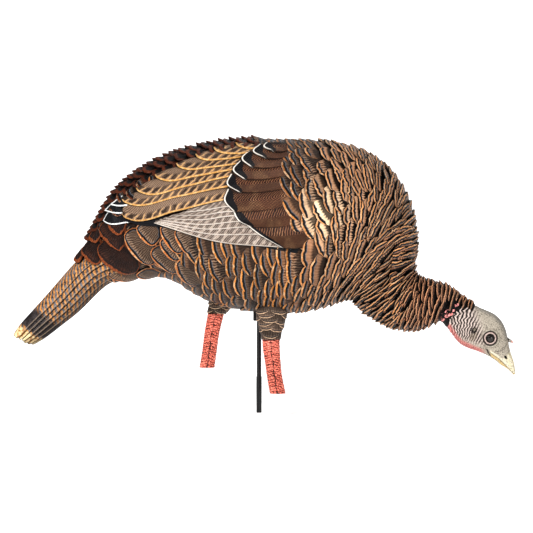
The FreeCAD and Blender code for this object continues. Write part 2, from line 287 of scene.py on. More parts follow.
def capped(points, ends, turn=True):
    """Rings of points, each end closed by a fan to its end point: all the points, and the faces."""
    rows, columns = points.shape[:2]
    count, last = rows * columns, (rows - 1) * columns
    faces = grid_faces(rows, columns, wrap=True)
    faces += [(count, (j + 1) % columns, j) for j in range(columns)]
    faces += [(count + 1, last + j, last + (j + 1) % columns) for j in range(columns)]
    return np.concatenate([points.reshape(-1, 3), ends]), turned(faces) if turn else faces


def skin_object(name, points, tint, material, slot, replaces=(), tip=None):
    """A closed skin from rings of points, with a tint for each point."""
    ends = [points[0].mean(0), points[-1].mean(0) if tip is None else tip]
    tints = np.concatenate([tint.reshape(-1, 3), tint[0, :1], tint[-1, :1]])
    mesh_object(name, *capped(points, ends), {"tint_skin": tints}, material, slot, replaces)


def ring_grid(end, rows, columns):
    """Places on a tube, from its first ring to the end given; each row starts on the back line."""
    return np.meshgrid(np.linspace(0, end, rows), np.arange(columns) * TAU / columns, indexing="ij")


def lay(tube, grid, height):
    """The places over which a sheet, standing height (mm) off the tube, is seen at the grid's points."""
    aim = grid.copy()
    for _ in range(3):
        t, angle = tube.locate(aim[..., 0], aim[..., 1])
        aim = aim + (grid - side_view(tube.raised(t, angle, height))) * 0.9
    return t, angle


def slab(tube, side, t, angle, height, thick, attributes):
    """A closed sheet that follows the skin: t, angle and height (mm) are grids of its top."""
    rows, columns = t.shape
    count, last = rows * columns, (rows - 1) * columns
    sheets = [tube.raised(t, angle * side, level) for level in (height, height - thick)]
    points = np.concatenate(sheets).reshape(-1, 3)
    upper = grid_faces(rows, columns)
    lower = turned([tuple(count + i for i in face) for face in upper])
    rim = [*range(columns), *range(2 * columns - 1, count, columns)]
    rim += [*range(count - 2, last - 1, -1), *range(last - columns, 0, -columns)]
    sides = [(b, a, a + count, b + count) for a, b in zip(rim, rim[1:] + rim[:1])]
    full = {key: np.concatenate([v.reshape(count, -1)] * 2).squeeze() for key, v in attributes.items()}
    full["rim"][count:] = -1
    return points, upper + lower + sides, full


def join(parts):
    """Several (points, faces, attributes) as one."""
    faces, start = [], 0
    for points, own, _ in parts:
        faces += [tuple(i + start for i in face) for face in own]
        start += len(points)
    return (np.concatenate([p[0] for p in parts]), faces,
            {key: np.concatenate([p[2][key] for p in parts]) for key in parts[0][2]})


# ---------------------------------------------------------------- materials
class Paint:
    """A material's nodes, written as calls that return sockets. Colours are hex digits."""

    def __init__(self, name):
        self.material = bpy.data.materials.new(name)
        self.material.use_nodes = True
        self.tree = self.material.node_tree
        self.shader = self.tree.nodes["Principled BSDF"]

    def put(self, socket, value):
        if isinstance(value, bpy.types.NodeSocket):
            self.tree.links.new(value, socket)
        else:
            socket.default_value = (*colour(value), 1) if isinstance(value, str) else value

    def node(self, kind, **settings):
        made = self.tree.nodes.new("ShaderNode" + kind)
        for key, value in settings.items():
            setattr(made, key, value)
        return made

    def attribute(self, name, output="Fac"):
        return self.node("Attribute", attribute_name=name).outputs[output]

    def parts(self, name):
        """The three numbers of a vector attribute."""
        made = self.node("SeparateXYZ")
        self.put(made.inputs[0], self.attribute(name, "Vector"))
        return made.outputs

    def math(self, operation, *values):
        made = self.node("Math", operation=operation)
        for socket, value in zip(made.inputs, values):
            self.put(socket, value)
        return made.outputs[0]

    def add(self, first, second):
        return self.math("ADD", first, second)

    def times(self, first, second):
        return self.math("MULTIPLY", first, second)

    def line(self, value, slope, start):
        """value x slope + start"""
        return self.math("MULTIPLY_ADD", value, slope, start)

    def repeat(self, value, length):
        """From 0 to 1 over each length."""
        return self.math("FRACT", self.math("DIVIDE", value, length))

    def step(self, value, low, high, to_low=0.0, to_high=1.0):
        made = self.node("MapRange", interpolation_type="SMOOTHSTEP")
        names = "Value", "From Min", "From Max", "To Min", "To Max"
        for name, given in zip(names, (value, low, high, to_low, to_high)):
            self.put(made.inputs[name], given)
        return made.outputs[0]

    def window(self, value, low, full, still, gone, peak=1.0):
        """0 below low, peak from full to still, 0 above gone."""
        return self.times(self.step(value, low, full), self.step(value, still, gone, peak, 0.0))

    def mix(self, share, first, second):
        made = self.node("Mix", data_type="RGBA")
        for socket, value in zip((0, 6, 7), (share, first, second)):
            self.put(made.inputs[socket], value)
        return made.outputs[2]

    def over(self, base, tint, value, none, full, share=1.0):
        """A tint laid over the base: none of it where value is none, and share of it where value is full."""
        return self.mix(self.step(value, none, full, 0.0, share), base, tint)

    def noise(self, scale, detail=2.0, vector=None):
        made = self.node("TexNoise")
        places = self.node("TexCoord").outputs["Object"] if vector is None else vector
        for key, value in (("Vector", places), ("Scale", scale), ("Detail", detail)):
            self.put(made.inputs[key], value)
        return made.outputs["Fac"]

    def shade_in_gaps(self, base, reach, low, high, amount=0.95):
        """Paints shade into the gaps from ambient occlusion: painted shade, which also stands for the dark
        antiquing wash there.
        """
        made = self.node("AmbientOcclusion", samples=8)
        self.put(made.inputs["Distance"], reach)
        return self.over(base, "070404", made.outputs["AO"], high, low, amount)

    def shine(self, **values):
        for key, value in values.items():
            self.put(self.shader.inputs[key.replace("_", " ")], value)

    def finish(self, base, roughness, height=None, relief=0.0005, strength=0.6):
        self.shine(Base_Color=base, Roughness=roughness, Specular_IOR_Level=0.16)
        if height is not None:
            bump = self.node("Bump")
            for key, value in (("Strength", strength), ("Distance", relief), ("Height", height)):
                self.put(bump.inputs[key], value)
            self.put(self.shader.inputs["Normal"], bump.outputs[0])
        return self.material

    def close(self, base, rim, wave, under, reach, rough, relief, strength):
        """The last coats of a long feather: painted shade on its under side and edges, painted shade in the
        gaps (which also stands for a dark wash), the barbs' relief.
        """
        base = self.over(base, under, rim, 0.0, -0.5)
        base = self.shade_in_gaps(base, reach, 0.3, 0.85)
        return self.finish(base, self.line(wave, 0.15, rough), wave, relief, strength)


BLACK = "0D0D10"


def wave_of(p, phase):
    return p.line(p.math("SINE", phase), 0.5, 0.5)


def barbs(p, pitch, lean):
    """Fine lines at a slant to a feather's shaft, from 0 to 1, and the two ways they are worked out from."""
    across, along, _ = p.parts("place")
    slant = p.math("SUBTRACT", along, p.times(p.math("ABSOLUTE", across), lean))
    phase = p.add(p.times(slant, TAU / pitch), p.times(p.noise(260), 6.0))
    return wave_of(p, phase), across, along


def feather_paint():
    """Moulded feathers: painted rim bands, fine barbs, and painted shade, which also stands for a dark wash,
    where one goes under the next.
    """
    p = Paint("painted_feathers")
    across, along, wash_and_shade = p.parts("place")
    spread = p.math("DIVIDE", p.times(across, 48.0), p.add(along, 48.0))
    barb = wave_of(p, p.add(p.times(spread, TAU / 3.4), p.times(p.noise(160, 3.0), 11.0)))
    wave = p.line(p.math("SUBTRACT", barb, 0.5), p.attribute("combing"), 0.5)
    rim = p.attribute("rim")
    band, cover, black = p.parts("style")
    wobble = p.line(p.noise(320, 3.0), 1.6, -0.8)
    depth = p.math("DIVIDE", p.add(rim, p.add(wobble, p.times(wave, 0.5))), band)
    vane = p.attribute("tint_vane", "Color")
    edge = p.attribute("tint_edge", "Color")
    vane = p.over(vane, p.mix(0.62, vane, BLACK), p.noise(55, 3.0), 0.38, 0.66, 0.5)
    vane = p.over(vane, p.mix(0.5, vane, "E8C8A8"), wave, 0.35, 0.9, p.times(black, 0.45))
    fan = p.line(p.step(p.noise(90), 0.42, 0.6), 0.75, 0.12)
    vane = p.over(vane, p.mix(0.85, vane, BLACK), wave, 0.5, 0.1, fan)
    base = p.over(vane, "4E545C", depth, 1.34, 1.22, black)
    dark = p.mix(black, p.mix(0.6, vane, BLACK), "0F0D0D")
    base = p.over(base, dark, depth, 1.18, 1.06)
    edge = p.over(edge, p.mix(0.65, edge, "3A1A0A"), wave, 0.4, 0.9, 0.55)
    edge = p.over(edge, "D9BC98", p.noise(160), 0.5, 0.66, p.times(black, 0.4))
    base = p.over(base, edge, depth, 0.6, 0.5)
    base = p.over(base, "857A6E", depth, 0.16, 0.08, black)
    # Painted shade where the next feather overlaps, ragged along the barbs; then painted shade on the under
    # side and edges, and in the gaps.
    jagged = p.add(cover, p.line(wave, -0.3, 0.15))
    base = p.over(base, "080505", jagged, 0.56, 0.82, wash_and_shade)
    base = p.over(base, "080505", rim, 0.0, -0.5)
    base = p.shade_in_gaps(base, 0.009, 0.32, 0.88)
    height = p.add(wave, p.times(p.noise(900), 0.5))
    return p.finish(base, p.line(wave, 0.2, 0.34), height, 0.0009, 0.9)


def secondary_paint():
    """Long folded wing feathers: grey-tan with a gold lower edge, gold flames and dark blots between them,
    and painted shade on the upper part of each, under the feather above.
    """
    p = Paint("wing_secondaries")
    wave, across, along = barbs(p, 3.8, 1.1)
    rim = p.attribute("rim")
    grain = p.noise(240, 3.0)
    cycle = p.repeat(p.line(p.noise(85, 3.0), 13.0, p.line(across, -1.0, along)), 14.0)
    blot = p.times(p.window(cycle, 0.1, 0.26, 0.62, 0.78), p.window(across, 2.4, 3.6, 9.5, 13.5))
    # Darker towards the upper edge: painted shade under the feather above.
    tan = p.over("84674F", "6A5646", across, 2.0, 12.0)
    tan = p.over(tan, "5A473B", p.noise(120, 4.0), 0.35, 0.68, 0.4)
    base = p.over(tan, "BCA088", wave, 0.5, 1.0, 0.35)
    base = p.mix(p.times(blot, p.step(p.noise(70), 0.36, 0.56, 0.7, 1.0)), base, "33271F")
    base = p.over(base, "33261E", wave, 0.4, 0.0, 0.3)
    flame = p.times(p.step(cycle, 0.8, 0.88), p.step(across, 8.0, 14.0, 0.85, 0.0))
    base = p.mix(flame, base, "C39A68")
    gold = p.over("B08248", "CFA974", grain, 0.4, 0.65)
    base = p.over(base, gold, p.line(grain, 1.6, rim), 3.6, 2.4)
    # Painted shade where the feather goes under the one above.
    base = p.over(base, "2A1C14", p.attribute("cover"), 0.0, 1.0, 0.85)
    return p.close(base, rim, wave, "1A120D", 0.006, 0.4, 0.0006, 0.7)


def primary_paint():
    """Flight feathers under the secondaries: off-white edges and gaps around grey-brown blocks."""
    p = Paint("wing_primaries")
    wave, across, along = barbs(p, 3.6, 1.2)
    rim = p.attribute("rim")
    cycle = p.repeat(p.line(p.noise(110, 3.0), 12.0, p.line(across, -1.2, along)), 13.0)
    block = p.times(p.window(cycle, 0.05, 0.2, 0.62, 0.8), p.step(across, 1.6, 3.0, 0.0, 0.9))
    white = p.over("A89A8E", "7C6C61", p.noise(150, 3.0), 0.35, 0.7)
    base = p.mix(block, white, "453730")
    base = p.over(base, "C4B8AC", wave, 0.5, 1.0, 0.3)
    base = p.over(base, "43372F", wave, 0.4, 0.0, 0.35)
    base = p.over(base, "C8BEB4", p.line(p.noise(240, 3.0), 1.4, rim), 2.2, 1.4)
    # Sheets with cover 1: the dark wing tips, black inside a white outline, and the painted shadow under the
    # wing, black all over.
    dark = p.over("DADAD8", "141417", rim, 1.6, 2.6)
    base = p.over(base, dark, p.attribute("cover"), 0.0, 1.0)
    return p.close(base, rim, wave, "1A120D", 0.005, 0.4, 0.0006, 0.7)


def covert_paint():
    """Broad brown shoulder feathers with a white rim and a black crescent inside it."""
    p = Paint("wing_coverts")
    wave, _, _ = barbs(p, 4.2, 0.9)
    rim = p.attribute("rim")
    brown = p.over("3F271C", "59392A", p.noise(30, 3.0), 0.35, 0.7)
    brown = p.over(brown, "0D0705", wave, 0.5, 0.0, 0.95)
    brown = p.over(brown, "8A6046", wave, 0.6, 1.0, 0.5)
    scratch = p.times(p.step(p.noise(34, 3.0), 0.5, 0.66), p.step(wave, 0.6, 0.95, 0.0, 0.42))
    brown = p.mix(scratch, brown, "B98E68")
    edge = p.add(p.attribute("band"), p.line(p.noise(200, 3.0), 1.6, -0.8))
    base = p.over(brown, "111013", p.math("SUBTRACT", rim, edge), 0.6, -0.3)
    base = p.over(base, "DDD6CC", rim, 2.6, 1.8)
    # Painted shade where the covert goes under the one above, and a dark line along its lower edge.
    base = p.over(base, "0D0705", p.attribute("cover"), 0.0, 1.0, 0.9)
    return p.close(base, rim, wave, "1A120D", 0.006, 0.42, 0.0008, 0.9)


def tail_paint():
    """Tail feathers: slanting orange and blue-black bars, a dark band, a cream tip, and painted shade from
    the band attribute.
    """
    p = Paint("tail_feathers")
    wave, across, along = barbs(p, 3.2, 0.8)
    rim = p.attribute("rim")
    cycle = p.repeat(p.line(p.noise(150, 3.0), 8.0, p.line(across, 1.1, along)), 8.6)
    orange = p.over("D09252", "93602F", p.noise(260, 3.0), 0.35, 0.65)
    bar = p.over("2E2E34", "62646B", p.noise(120), 0.4, 0.6)
    base = p.mix(p.window(cycle, 0.05, 0.2, 0.6, 0.76), orange, bar)
    base = p.over(base, "8C7A68", wave, 0.6, 1.0, 0.4)
    dark = p.over("201C1D", "3E3838", p.noise(150, 3.0), 0.3, 0.7)
    base = p.mix(p.window(along, 20.0, 25.0, 50.0, 62.0), base, dark)
    cream = p.over("EFD9A6", "9A6A38", p.noise(190, 3.0), 0.4, 0.65)
    base = p.over(base, cream, along, 21.0, 15.0)
    # Painted shade from the band attribute.
    base = p.mix(p.attribute("band"), base, "130D0A")
    base = p.mix(p.window(rim, 0.9, 1.4, 1.6, 2.4, 0.4), base, "A8927A")
    base = p.over(base, p.mix(0.6, base, "0C0806"), rim, 1.1, 0.5)
    return p.close(base, rim, wave, "0A0706", 0.004, 0.42, 0.0005, 0.6)


def painted_skin(name, roughness, grain_scale, relief, speck):
    """Skin painted point by point, with a fine grain over it and painted shade in its hollows."""
    p = Paint(name)
    grain = p.noise(grain_scale, 4.0)
    base = p.over(p.attribute("tint_skin", "Color"), "2A2018", grain, 0.5, 0.66, speck)
    base = p.shade_in_gaps(base, 0.004, 0.25, 0.85, 0.8)
    return p.finish(base, p.line(grain, 0.25, roughness - 0.12), grain, relief)


def eye_paint():
    p = Paint("glass_eye")
    material = p.finish(p.mix(p.noise(80), "0A0807", "1E120A"), 0.05)
    p.shine(Coat_Weight=0.6, Specular_IOR_Level=0.3)
    return material


def stake_paint():
    """Black painted tube: satin, with fine lengthwise draw lines and rubbed specks."""
    p = Paint("stake_tube")
    stretch = p.node("Mapping")
    p.put(stretch.inputs["Vector"], p.node("TexCoord").outputs["Object"])
    p.put(stretch.inputs["Scale"], (900.0, 900.0, 8.0))
    lines = p.noise(1.0, 3.0, stretch.outputs[0])
    base = p.over(p.mix(lines, "0C0C0D", "1B1B1D"), "5A5A5C", p.noise(420, 4.0), 0.68, 0.74, 0.5)
    material = p.finish(base, p.line(lines, 0.2, 0.2), lines, 0.0001, 0.4)
    p.shine(Specular_IOR_Level=0.3)
    return material


def underskin_paint():
    """The moulding between the feathers: a nearly black brown, for the dark paint in the gaps and, as painted
    shade, the shadow there.
    """
    p = Paint("dark_underskin")
    grain = p.noise(300, 4.0)
    return p.finish(p.over("120C09", "2E1F16", grain, 0.3, 0.7), 0.7, grain, 0.0006)


def nylon_paint():
    p = Paint("black_nylon")
    grain = p.noise(900, 3.0)
    return p.finish(p.mix(grain, "101011", "1C1C1E"), p.line(grain, 0.2, 0.38), grain, 0.0002)


def steel_paint():
    p = Paint("turned_steel")
    grain = p.noise(700)
    material = p.finish(p.mix(grain, "9A9A9C", "C4C4C6"), 0.3, grain, 0.0001)
    p.shine(Metallic=1.0)
    return material


def rubber_paint():
    p = Paint("moulded_rubber")
    grain = p.noise(400, 4.0)
    return p.finish(p.mix(grain, "1B1511", "2B211A"), 0.65, grain, 0.0004)


# ---------------------------------------------------------------- body feathers
# Spots in the side view: x, z, the way the feathers point there (degrees from +X towards +Z),
# how much of each shows along its length, and how far apart they lie side by side.
FLOW = [
    (-280, 262, 222, 14, 24), (-238, 355, 222, 15, 22), (-190, 385, 212, 16, 22), (-128, 412, 204, 16, 22),
    (-60, 428, 198, 15, 22), (0, 436, 197, 12, 22), (50, 425, 212, 13, 26), (95, 432, 214, 12, 26),
    (135, 405, 205, 11, 28), (180, 400, 198, 10, 26), (206, 380, 188, 9.5, 25), (71, 378, 212, 14, 32),
    (114, 388, 206, 13, 31), (60, 330, 214, 15, 36), (103, 303, 206, 14, 34), (146, 380, 198, 11, 30),
    (120, 345, 204, 13, 32), (167, 324, 180, 10, 32), (221, 345, 165, 9.5, 25), (243, 326, 140, 9, 24),
    (242, 300, 118, 8, 30), (230, 280, 106, 7, 38), (230, 255, 97, 7, 42), (226, 232, 98, 7.5, 38),
    (200, 314, 152, 9.5, 32), (189, 292, 150, 9, 32), (146, 290, 172, 10, 34), (150, 262, 162, 10, 34),
    (189, 249, 140, 9, 32), (157, 217, 140, 9.5, 28), (200, 222, 132, 8.5, 28), (200, 185, 128, 8.5, 24),
    (223, 206, 128, 8.5, 26), (242, 200, 148, 8.5, 24), (264, 196, 170, 8.5, 24), (210, 155, 140, 8.5, 24),
    (242, 163, 157, 8.5, 24), (264, 153, 172, 8.5, 24), (290, 193, 168, 8.5, 22), (310, 188, 160, 8, 18),
    (326, 184, 148, 7, 14), (345, 172, 138, 6, 12), (100, 255, 178, 15, 38), (39, 249, 185, 17, 40),
    (43, 196, 176, 15, 36), (110, 200, 160, 12, 32), (0, 230, 186, 18, 42), (-70, 240, 190, 19, 42),
    (-60, 200, 192, 18, 38), (-120, 255, 206, 19, 42), (-146, 278, 214, 18, 40), (-188, 282, 218, 18, 38),
    (-240, 296, 222, 15, 30), (-150, 225, 212, 19, 40), (-210, 240, 224, 20, 38), (-250, 250, 226, 18, 36),
]
# The strip where the feathers stop and the bare skin of the head starts: x and the lowest feathered z.
NAPE_LINE = [(280, 120), (290, 130), (291, 164), (306, 176), (325, 178), (348, 168)]


def from_flow(x, z, column):
    """A value of the flow table at spots in the side view, from the spots near by."""
    table = np.array(FLOW, float)
    gap = (x[:, None] - table[:, 0]) ** 2 + (z[:, None] - table[:, 1]) ** 2
    weight = 1 / (gap + 60) ** 1.8
    weight /= weight.sum(1, keepdims=True)
    if column == 2:
        turn = np.radians(table[:, 2])
        return np.arctan2(weight @ np.sin(turn), weight @ np.cos(turn))
    return weight @ table[:, column]


def tips_way(tube, t, angle, turn):
    """Unit vectors on the skin that look like the given turn in the side view, and those across them."""
    normal = tube.normal(t, angle)
    way = np.stack([np.cos(turn), np.zeros_like(turn), np.sin(turn)], -1)
    way = unit(way - normal * (way * normal).sum(-1, keepdims=True))
    return way, np.cross(normal, way)


def scatter(tube, t_range, keep, spacing, dice, tries):
    """Evenly spaced places on the right half of a tube: denser where spacing says, none where keep says no.

    keep(x, z, t, angle) picks places. spacing(x, z) gives each feather's turn, how much of it shows and how
    far it lies from the next one at its side, the last two in mm.
    """
    t = dice.uniform(*t_range, tries)
    angle = dice.uniform(0, math.pi, tries)
    with_t, with_angle = tube.slopes(t, angle)
    area = np.linalg.norm(np.cross(with_t, with_angle), axis=-1) / MM ** 2
    spot = tube.point(t, angle) / MM
    turn, show, gap = spacing(spot[:, 0], spot[:, 2])
    wanted = area / (show * gap)
    chosen = keep(spot[:, 0], spot[:, 2], t, angle) & (dice.uniform(0, wanted.max() * 0.5, tries) < wanted)
    t, angle, spot, turn, show, gap = (v[chosen] for v in (t, angle, spot, turn, show, gap))
    way, cross = tips_way(tube, t, angle, turn)
    taken = []
    free = np.ones(len(t), bool)
    for closeness in (1.0, 0.9, 0.8, 0.72, 0.65):
        for i in np.nonzero(free)[0]:
            if taken:
                d = spot[taken] - spot[i]
                along = (d * way[i]).sum(-1) / show[i]
                across = (d * cross[i]).sum(-1) / gap[i]
                deep = np.linalg.norm(d, axis=-1) / gap[i]
                if (np.maximum(along ** 2 + across ** 2, deep ** 2 * 0.3) < closeness ** 2).any():
                    continue
            taken.append(i)
            free[i] = False
    return t[taken], angle[taken], turn[taken], show[taken], gap[taken]


def feather_outline():
    """Angles from the tip round a feather, closer together at the tip, and its rings' shares of the reach."""
    tip = np.radians(np.linspace(-105, 105, 22))
    base = np.radians([130, 155, 180, 205, 230])
    return np.concatenate([tip, base]), np.array([0.4, 0.68, 0.82, 0.91, 0.965, 1.0])


def feathers(tube, t, angle, turn, size, paint, dice):
    """Feathers as closed scales on the skin, all at once. size and paint hold one value for each feather, or
    one for all of them. Lengths are mm."""
    count = len(t)

    def each(value):
        return np.broadcast_to(value, count)[:, None]

    way, cross = tips_way(tube, t, angle, turn)
    half, tip, base, power = (each(size[k])[..., None] for k in ("half", "tip", "base", "power"))
    outline, shares = feather_outline()
    around = outline[None, None, :]
    length = np.where(np.cos(around) > 0, tip, base)
    aside, ahead = np.abs(np.sin(around) / half), np.abs(np.cos(around) / length)
    radius = (aside ** power + ahead ** power) ** (-1 / power)
    radius = radius * (1 + each(size["ragged"])[..., None] * dice.normal(size=(count, 1, len(outline))))
    rho = np.concatenate([shares, [0.97]])[None, :, None]
    out, length = rho * radius * np.sin(around), rho * radius * np.cos(around)
    middle = np.zeros((count, 1))
    flat_a = np.concatenate([middle, out.reshape(count, -1), middle], 1)
    flat_l = np.concatenate([middle, length.reshape(count, -1), middle], 1)
    reach = np.concatenate([middle, np.broadcast_to(rho, out.shape).reshape(count, -1), middle], 1)
    rim = np.concatenate([radius[:, :, 0], ((1 - rho) * radius).reshape(count, -1), middle - 1], 1)
    skirt = 1 + len(shares) * len(outline)
    rim[:, skirt:] = -1
    half, tip = half[..., 0], tip[..., 0]
    lift, lie, show, roll = (each(size[k]) for k in ("lift", "lie", "show", "roll"))
    rise = np.maximum(1 + (flat_l - tip) / (1.15 * show), -0.7)
    height = lie + lift * rise + 0.05 * half * (1 - (flat_a / half) ** 2) + roll * flat_a / half
    height -= 0.6 * smooth(0.93, 1.0, reach)
    height[:, skirt:] -= lift * 0.9 + 1.4
    points_t, points_angle = (v[:, None] + 0 * flat_a for v in (t, angle))
    move = (cross[:, None] * flat_a[..., None] + way[:, None] * flat_l[..., None]) * MM
    for _ in range(4):
        points_t, points_angle = tube.step(points_t, points_angle, move / 4)
    points = tube.raised(points_t, points_angle, height)
    side = np.abs(flat_a / half)
    # cover: how far a point lies under the next feather; it sets the painted shade there.
    cover = (tip - flat_l - 0.25 * side ** 2 * tip) / show * each(paint["gap"])
    band = each(paint["band"]) * (1 - 0.94 * each(paint["taper"]) * smooth(0.38, 0.82, side))
    wash_and_shade, black, combing = (each(paint[k]) + 0 * flat_a for k in ("wash_and_shade", "black", "combing"))
    wide = flat_a.shape[1]
    attributes = {"rim": rim.reshape(-1), "combing": combing.reshape(-1)}
    attributes["place"] = np.stack([flat_a, flat_l, wash_and_shade], -1).reshape(-1, 3)
    attributes["style"] = np.stack([band, cover, black], -1).reshape(-1, 3)
    for key in ("vane", "edge"):
        attributes["tint_" + key] = np.repeat(np.broadcast_to(paint[key], (count, 3)), wide, 0)
    return points, attributes, wide


def feather_faces():
    outline, shares = feather_outline()
    ring = len(outline)
    foot = 1 + (len(shares) + 1) * ring
    points = np.arange(ring * (len(shares) + 1)).reshape(-1, ring) + 1
    faces = [(0, 1 + j, 1 + (j + 1) % ring) for j in range(ring)]
    for inner, outer in zip(points[:-1].tolist(), points[1:].tolist()):
        faces += [(inner[j], outer[j], outer[(j + 1) % ring], inner[(j + 1) % ring]) for j in range(ring)]
    return faces + [(foot, outer[(j + 1) % ring], outer[j]) for j in range(ring)]


def feather_patches(name, tube, t, angle, turn, size, paint, groups, material, dice, slot="feather_skin"):
    """Builds the feathers and shares them out over one piece for each group number."""
    points, attributes, wide = feathers(tube, t, angle, turn, size, paint, dice)
    faces = feather_faces()
    for group in np.unique(groups):
        members = np.nonzero(groups == group)[0]
        pick = (members[:, None] * wide + np.arange(wide)).ravel()
        own = [tuple(i + n * wide for i in face) for n in range(len(members)) for face in faces]
        mesh_object(f"{name}_{int(group):02d}", points[members].reshape(-1, 3), own,
                    {key: values[pick] for key, values in attributes.items()}, material, slot)


# The edge of the folded wing over the body feathers, in the side view: x and z along its upper and lower
# edges, and z and x up its front edge.
WING_OVER = [(-240, 326), (-215, 338), (-165, 372), (-130, 390), (-70, 416), (-38, 424), (10, 424), (50, 420),
             (60, 410)]
WING_UNDER = [(-240, 322), (-215, 312), (-100, 292), (-30, 278), (30, 268), (60, 264), (100, 270)]
WING_FRONT = [(262, 100), (280, 92), (300, 84), (340, 66), (380, 58), (424, 50)]


def under_wing(x, z):
    """True where the folded wing covers the body, in the side view, and body feathers would be hidden."""
    ahead = np.interp(z, *np.transpose(WING_FRONT))
    low, top = np.interp(x, *np.transpose(WING_UNDER)), np.interp(x, *np.transpose(WING_OVER))
    return (x > -236) & (x < ahead) & (z < top) & (z > low)


def blend_tints(*pairs):
    """Weighted mean of colours, one row for each feather. A weight may be one number for all of them."""
    weights = np.stack(np.broadcast_arrays(*(weight for weight, _ in pairs)), -1)
    weights = weights / weights.sum(-1, keepdims=True)
    return weights @ np.stack([colour(code) for _, code in pairs])


def body_feathers(material):
    dice = np.random.default_rng(5)

    def keep(x, z, t, angle):
        nape = np.interp(x, *np.transpose(NAPE_LINE))
        ridge = (x < 8) & (angle < 0.7) & (t > 0.9)
        return ~under_wing(x, z) & ~ridge & (x < 347) & ((x < 280) | (z > nape))

    def spacing(x, z):
        coarse = smooth(30, 100, x) * smooth(195, 235, z) * smooth(262, 240, x)
        return from_flow(x, z, 2), from_flow(x, z, 3) * (1 + 0.52 * coarse), from_flow(x, z, 4)

    t, angle, turn, show, gap = scatter(BODY, (0.8, BODY.last - 0.05), keep, spacing, dice, 21000)
    spot = BODY.point(t, angle) / MM
    middle = np.abs(spot[:, 1]) < 0.25 * gap
    angle = np.where(middle & (angle < 1.5), 0.0, np.where(middle, math.pi, angle))
    t, turn, show, gap = (np.concatenate([v, v[~middle]]) for v in (t, turn, show, gap))
    angle = np.concatenate([angle, -angle[~middle]])
    x, _, z = (BODY.point(t, angle) / MM).T
    count = len(t)

    def uneven(share):
        return (1 + share * dice.normal(0, 1, count))[:, None]

    neck = smooth(225, 262, x) * smooth(262, 225, z)
    fold = smooth(200, 212, x) * smooth(292, 270, z) * (1 - neck)
    rump = smooth(-150, -185, x) * smooth(262, 300, z) + (x < 20) * smooth(404, 416, z) * (x > -200)
    rump = np.clip(rump + smooth(-200, -225, x), 0, 1)
    stern = smooth(-120, -170, x) * (1 - rump)
    back = smooth(130, 50, x) * smooth(340, 385, z) * (1 - rump) * (x > 20)
    front = smooth(60, 150, x)
    under_large = smooth(-100, -122, x) * (z < 306) * (np.abs(np.sin(angle)) > 0.5)
    # A painted highlight, cream, on the middle of the breast where the light falls strongest.
    painted_highlight = np.exp(-((x - 122) / 24) ** 2 - ((z - 326) / 28) ** 2)
    # Painted shade: the flank behind x 50 mm is darker, for the shadow of the wing.
    shaded = smooth(50, -10, x) * (1 - rump)
    vane = blend_tints((0.6, "805537"), (front * 1.2, "B08262"), ((neck + fold) * 3, "AC6E4C"),
                       (rump * 14, "170D09"), ((stern + shaded) * 3, "442B1C"), (back * 13, "3A2418"),
                       (smooth(285, 325, x) * 12, "D0A488"), (painted_highlight * 3.6, "E6CCA8"))
    vane = vane * uneven(0.25).clip(0.45, 1.8)
    # Darker towards the bottom, except in the painted highlight.
    vane = vane * (1 - 0.24 * (1 - painted_highlight) * smooth(305, 262, z))[:, None]
    edge = blend_tints((1.0, "A46A32"), (rump * 22, "4A2110"), (stern * 3, "A8643A"), (back * 4, "7A4A24"),
                       (front * 2.0, "B8845A"), (neck * 6, "A87A60"))
    edge = edge * uneven(0.18).clip(0.6, 1.5)
    size = {
        "half": gap * (0.8 + 0.3 * smooth(280, 305, x) + 0.08 * dice.normal(0, 1, count).clip(-2, 2)),
        "tip": show * 1.15 + gap * (0.2 - 0.08 * front),
        "base": show * 1.5 + 4,
        "lift": 2.6 + 2.3 * front + 2.4 * rump + dice.normal(0, 0.4, count) * (0.5 + front),
        "power": 2.35 + 1.3 * rump,
        "lie": 0.6 + 2.6 * rump * (z > 330) + 2.4 * front * smooth(335, 300, x)
        - 0.9 * neck * smooth(300, 340, x) - 3.0 * under_large,
        "show": show,
        "roll": dice.normal(0, 0.6, count) * (0.5 + front),
        "ragged": 0.012 + 0.02 * front + 0.02 * rump,
    }
    turn = turn + dice.normal(0, 0.13, count)
    paint = {
        "band": 6.4 - 1.5 * front - 1.2 * neck + 0.4 * stern,
        "black": 1 - 0.6 * neck,
        "wash_and_shade": 0.75 + 0.25 * np.maximum(front, rump),
        "vane": vane,
        "edge": edge,
        "combing": 0.14 + 0.08 * rump + 0.3 * painted_highlight + (dice.uniform(0, 1, count) < 0.2) * 0.5,
        "gap": 1 + 0.35 * neck + 0.12 * front,
        "taper": 1 - 0.4 * rump,
    }
    groups = (np.floor(t / 2) * 6 + np.floor((angle + math.pi) / (math.pi / 3)).clip(0, 5)).astype(int)
    feather_patches("body_feathers", BODY, t, angle, turn, size, paint, groups, material, dice)


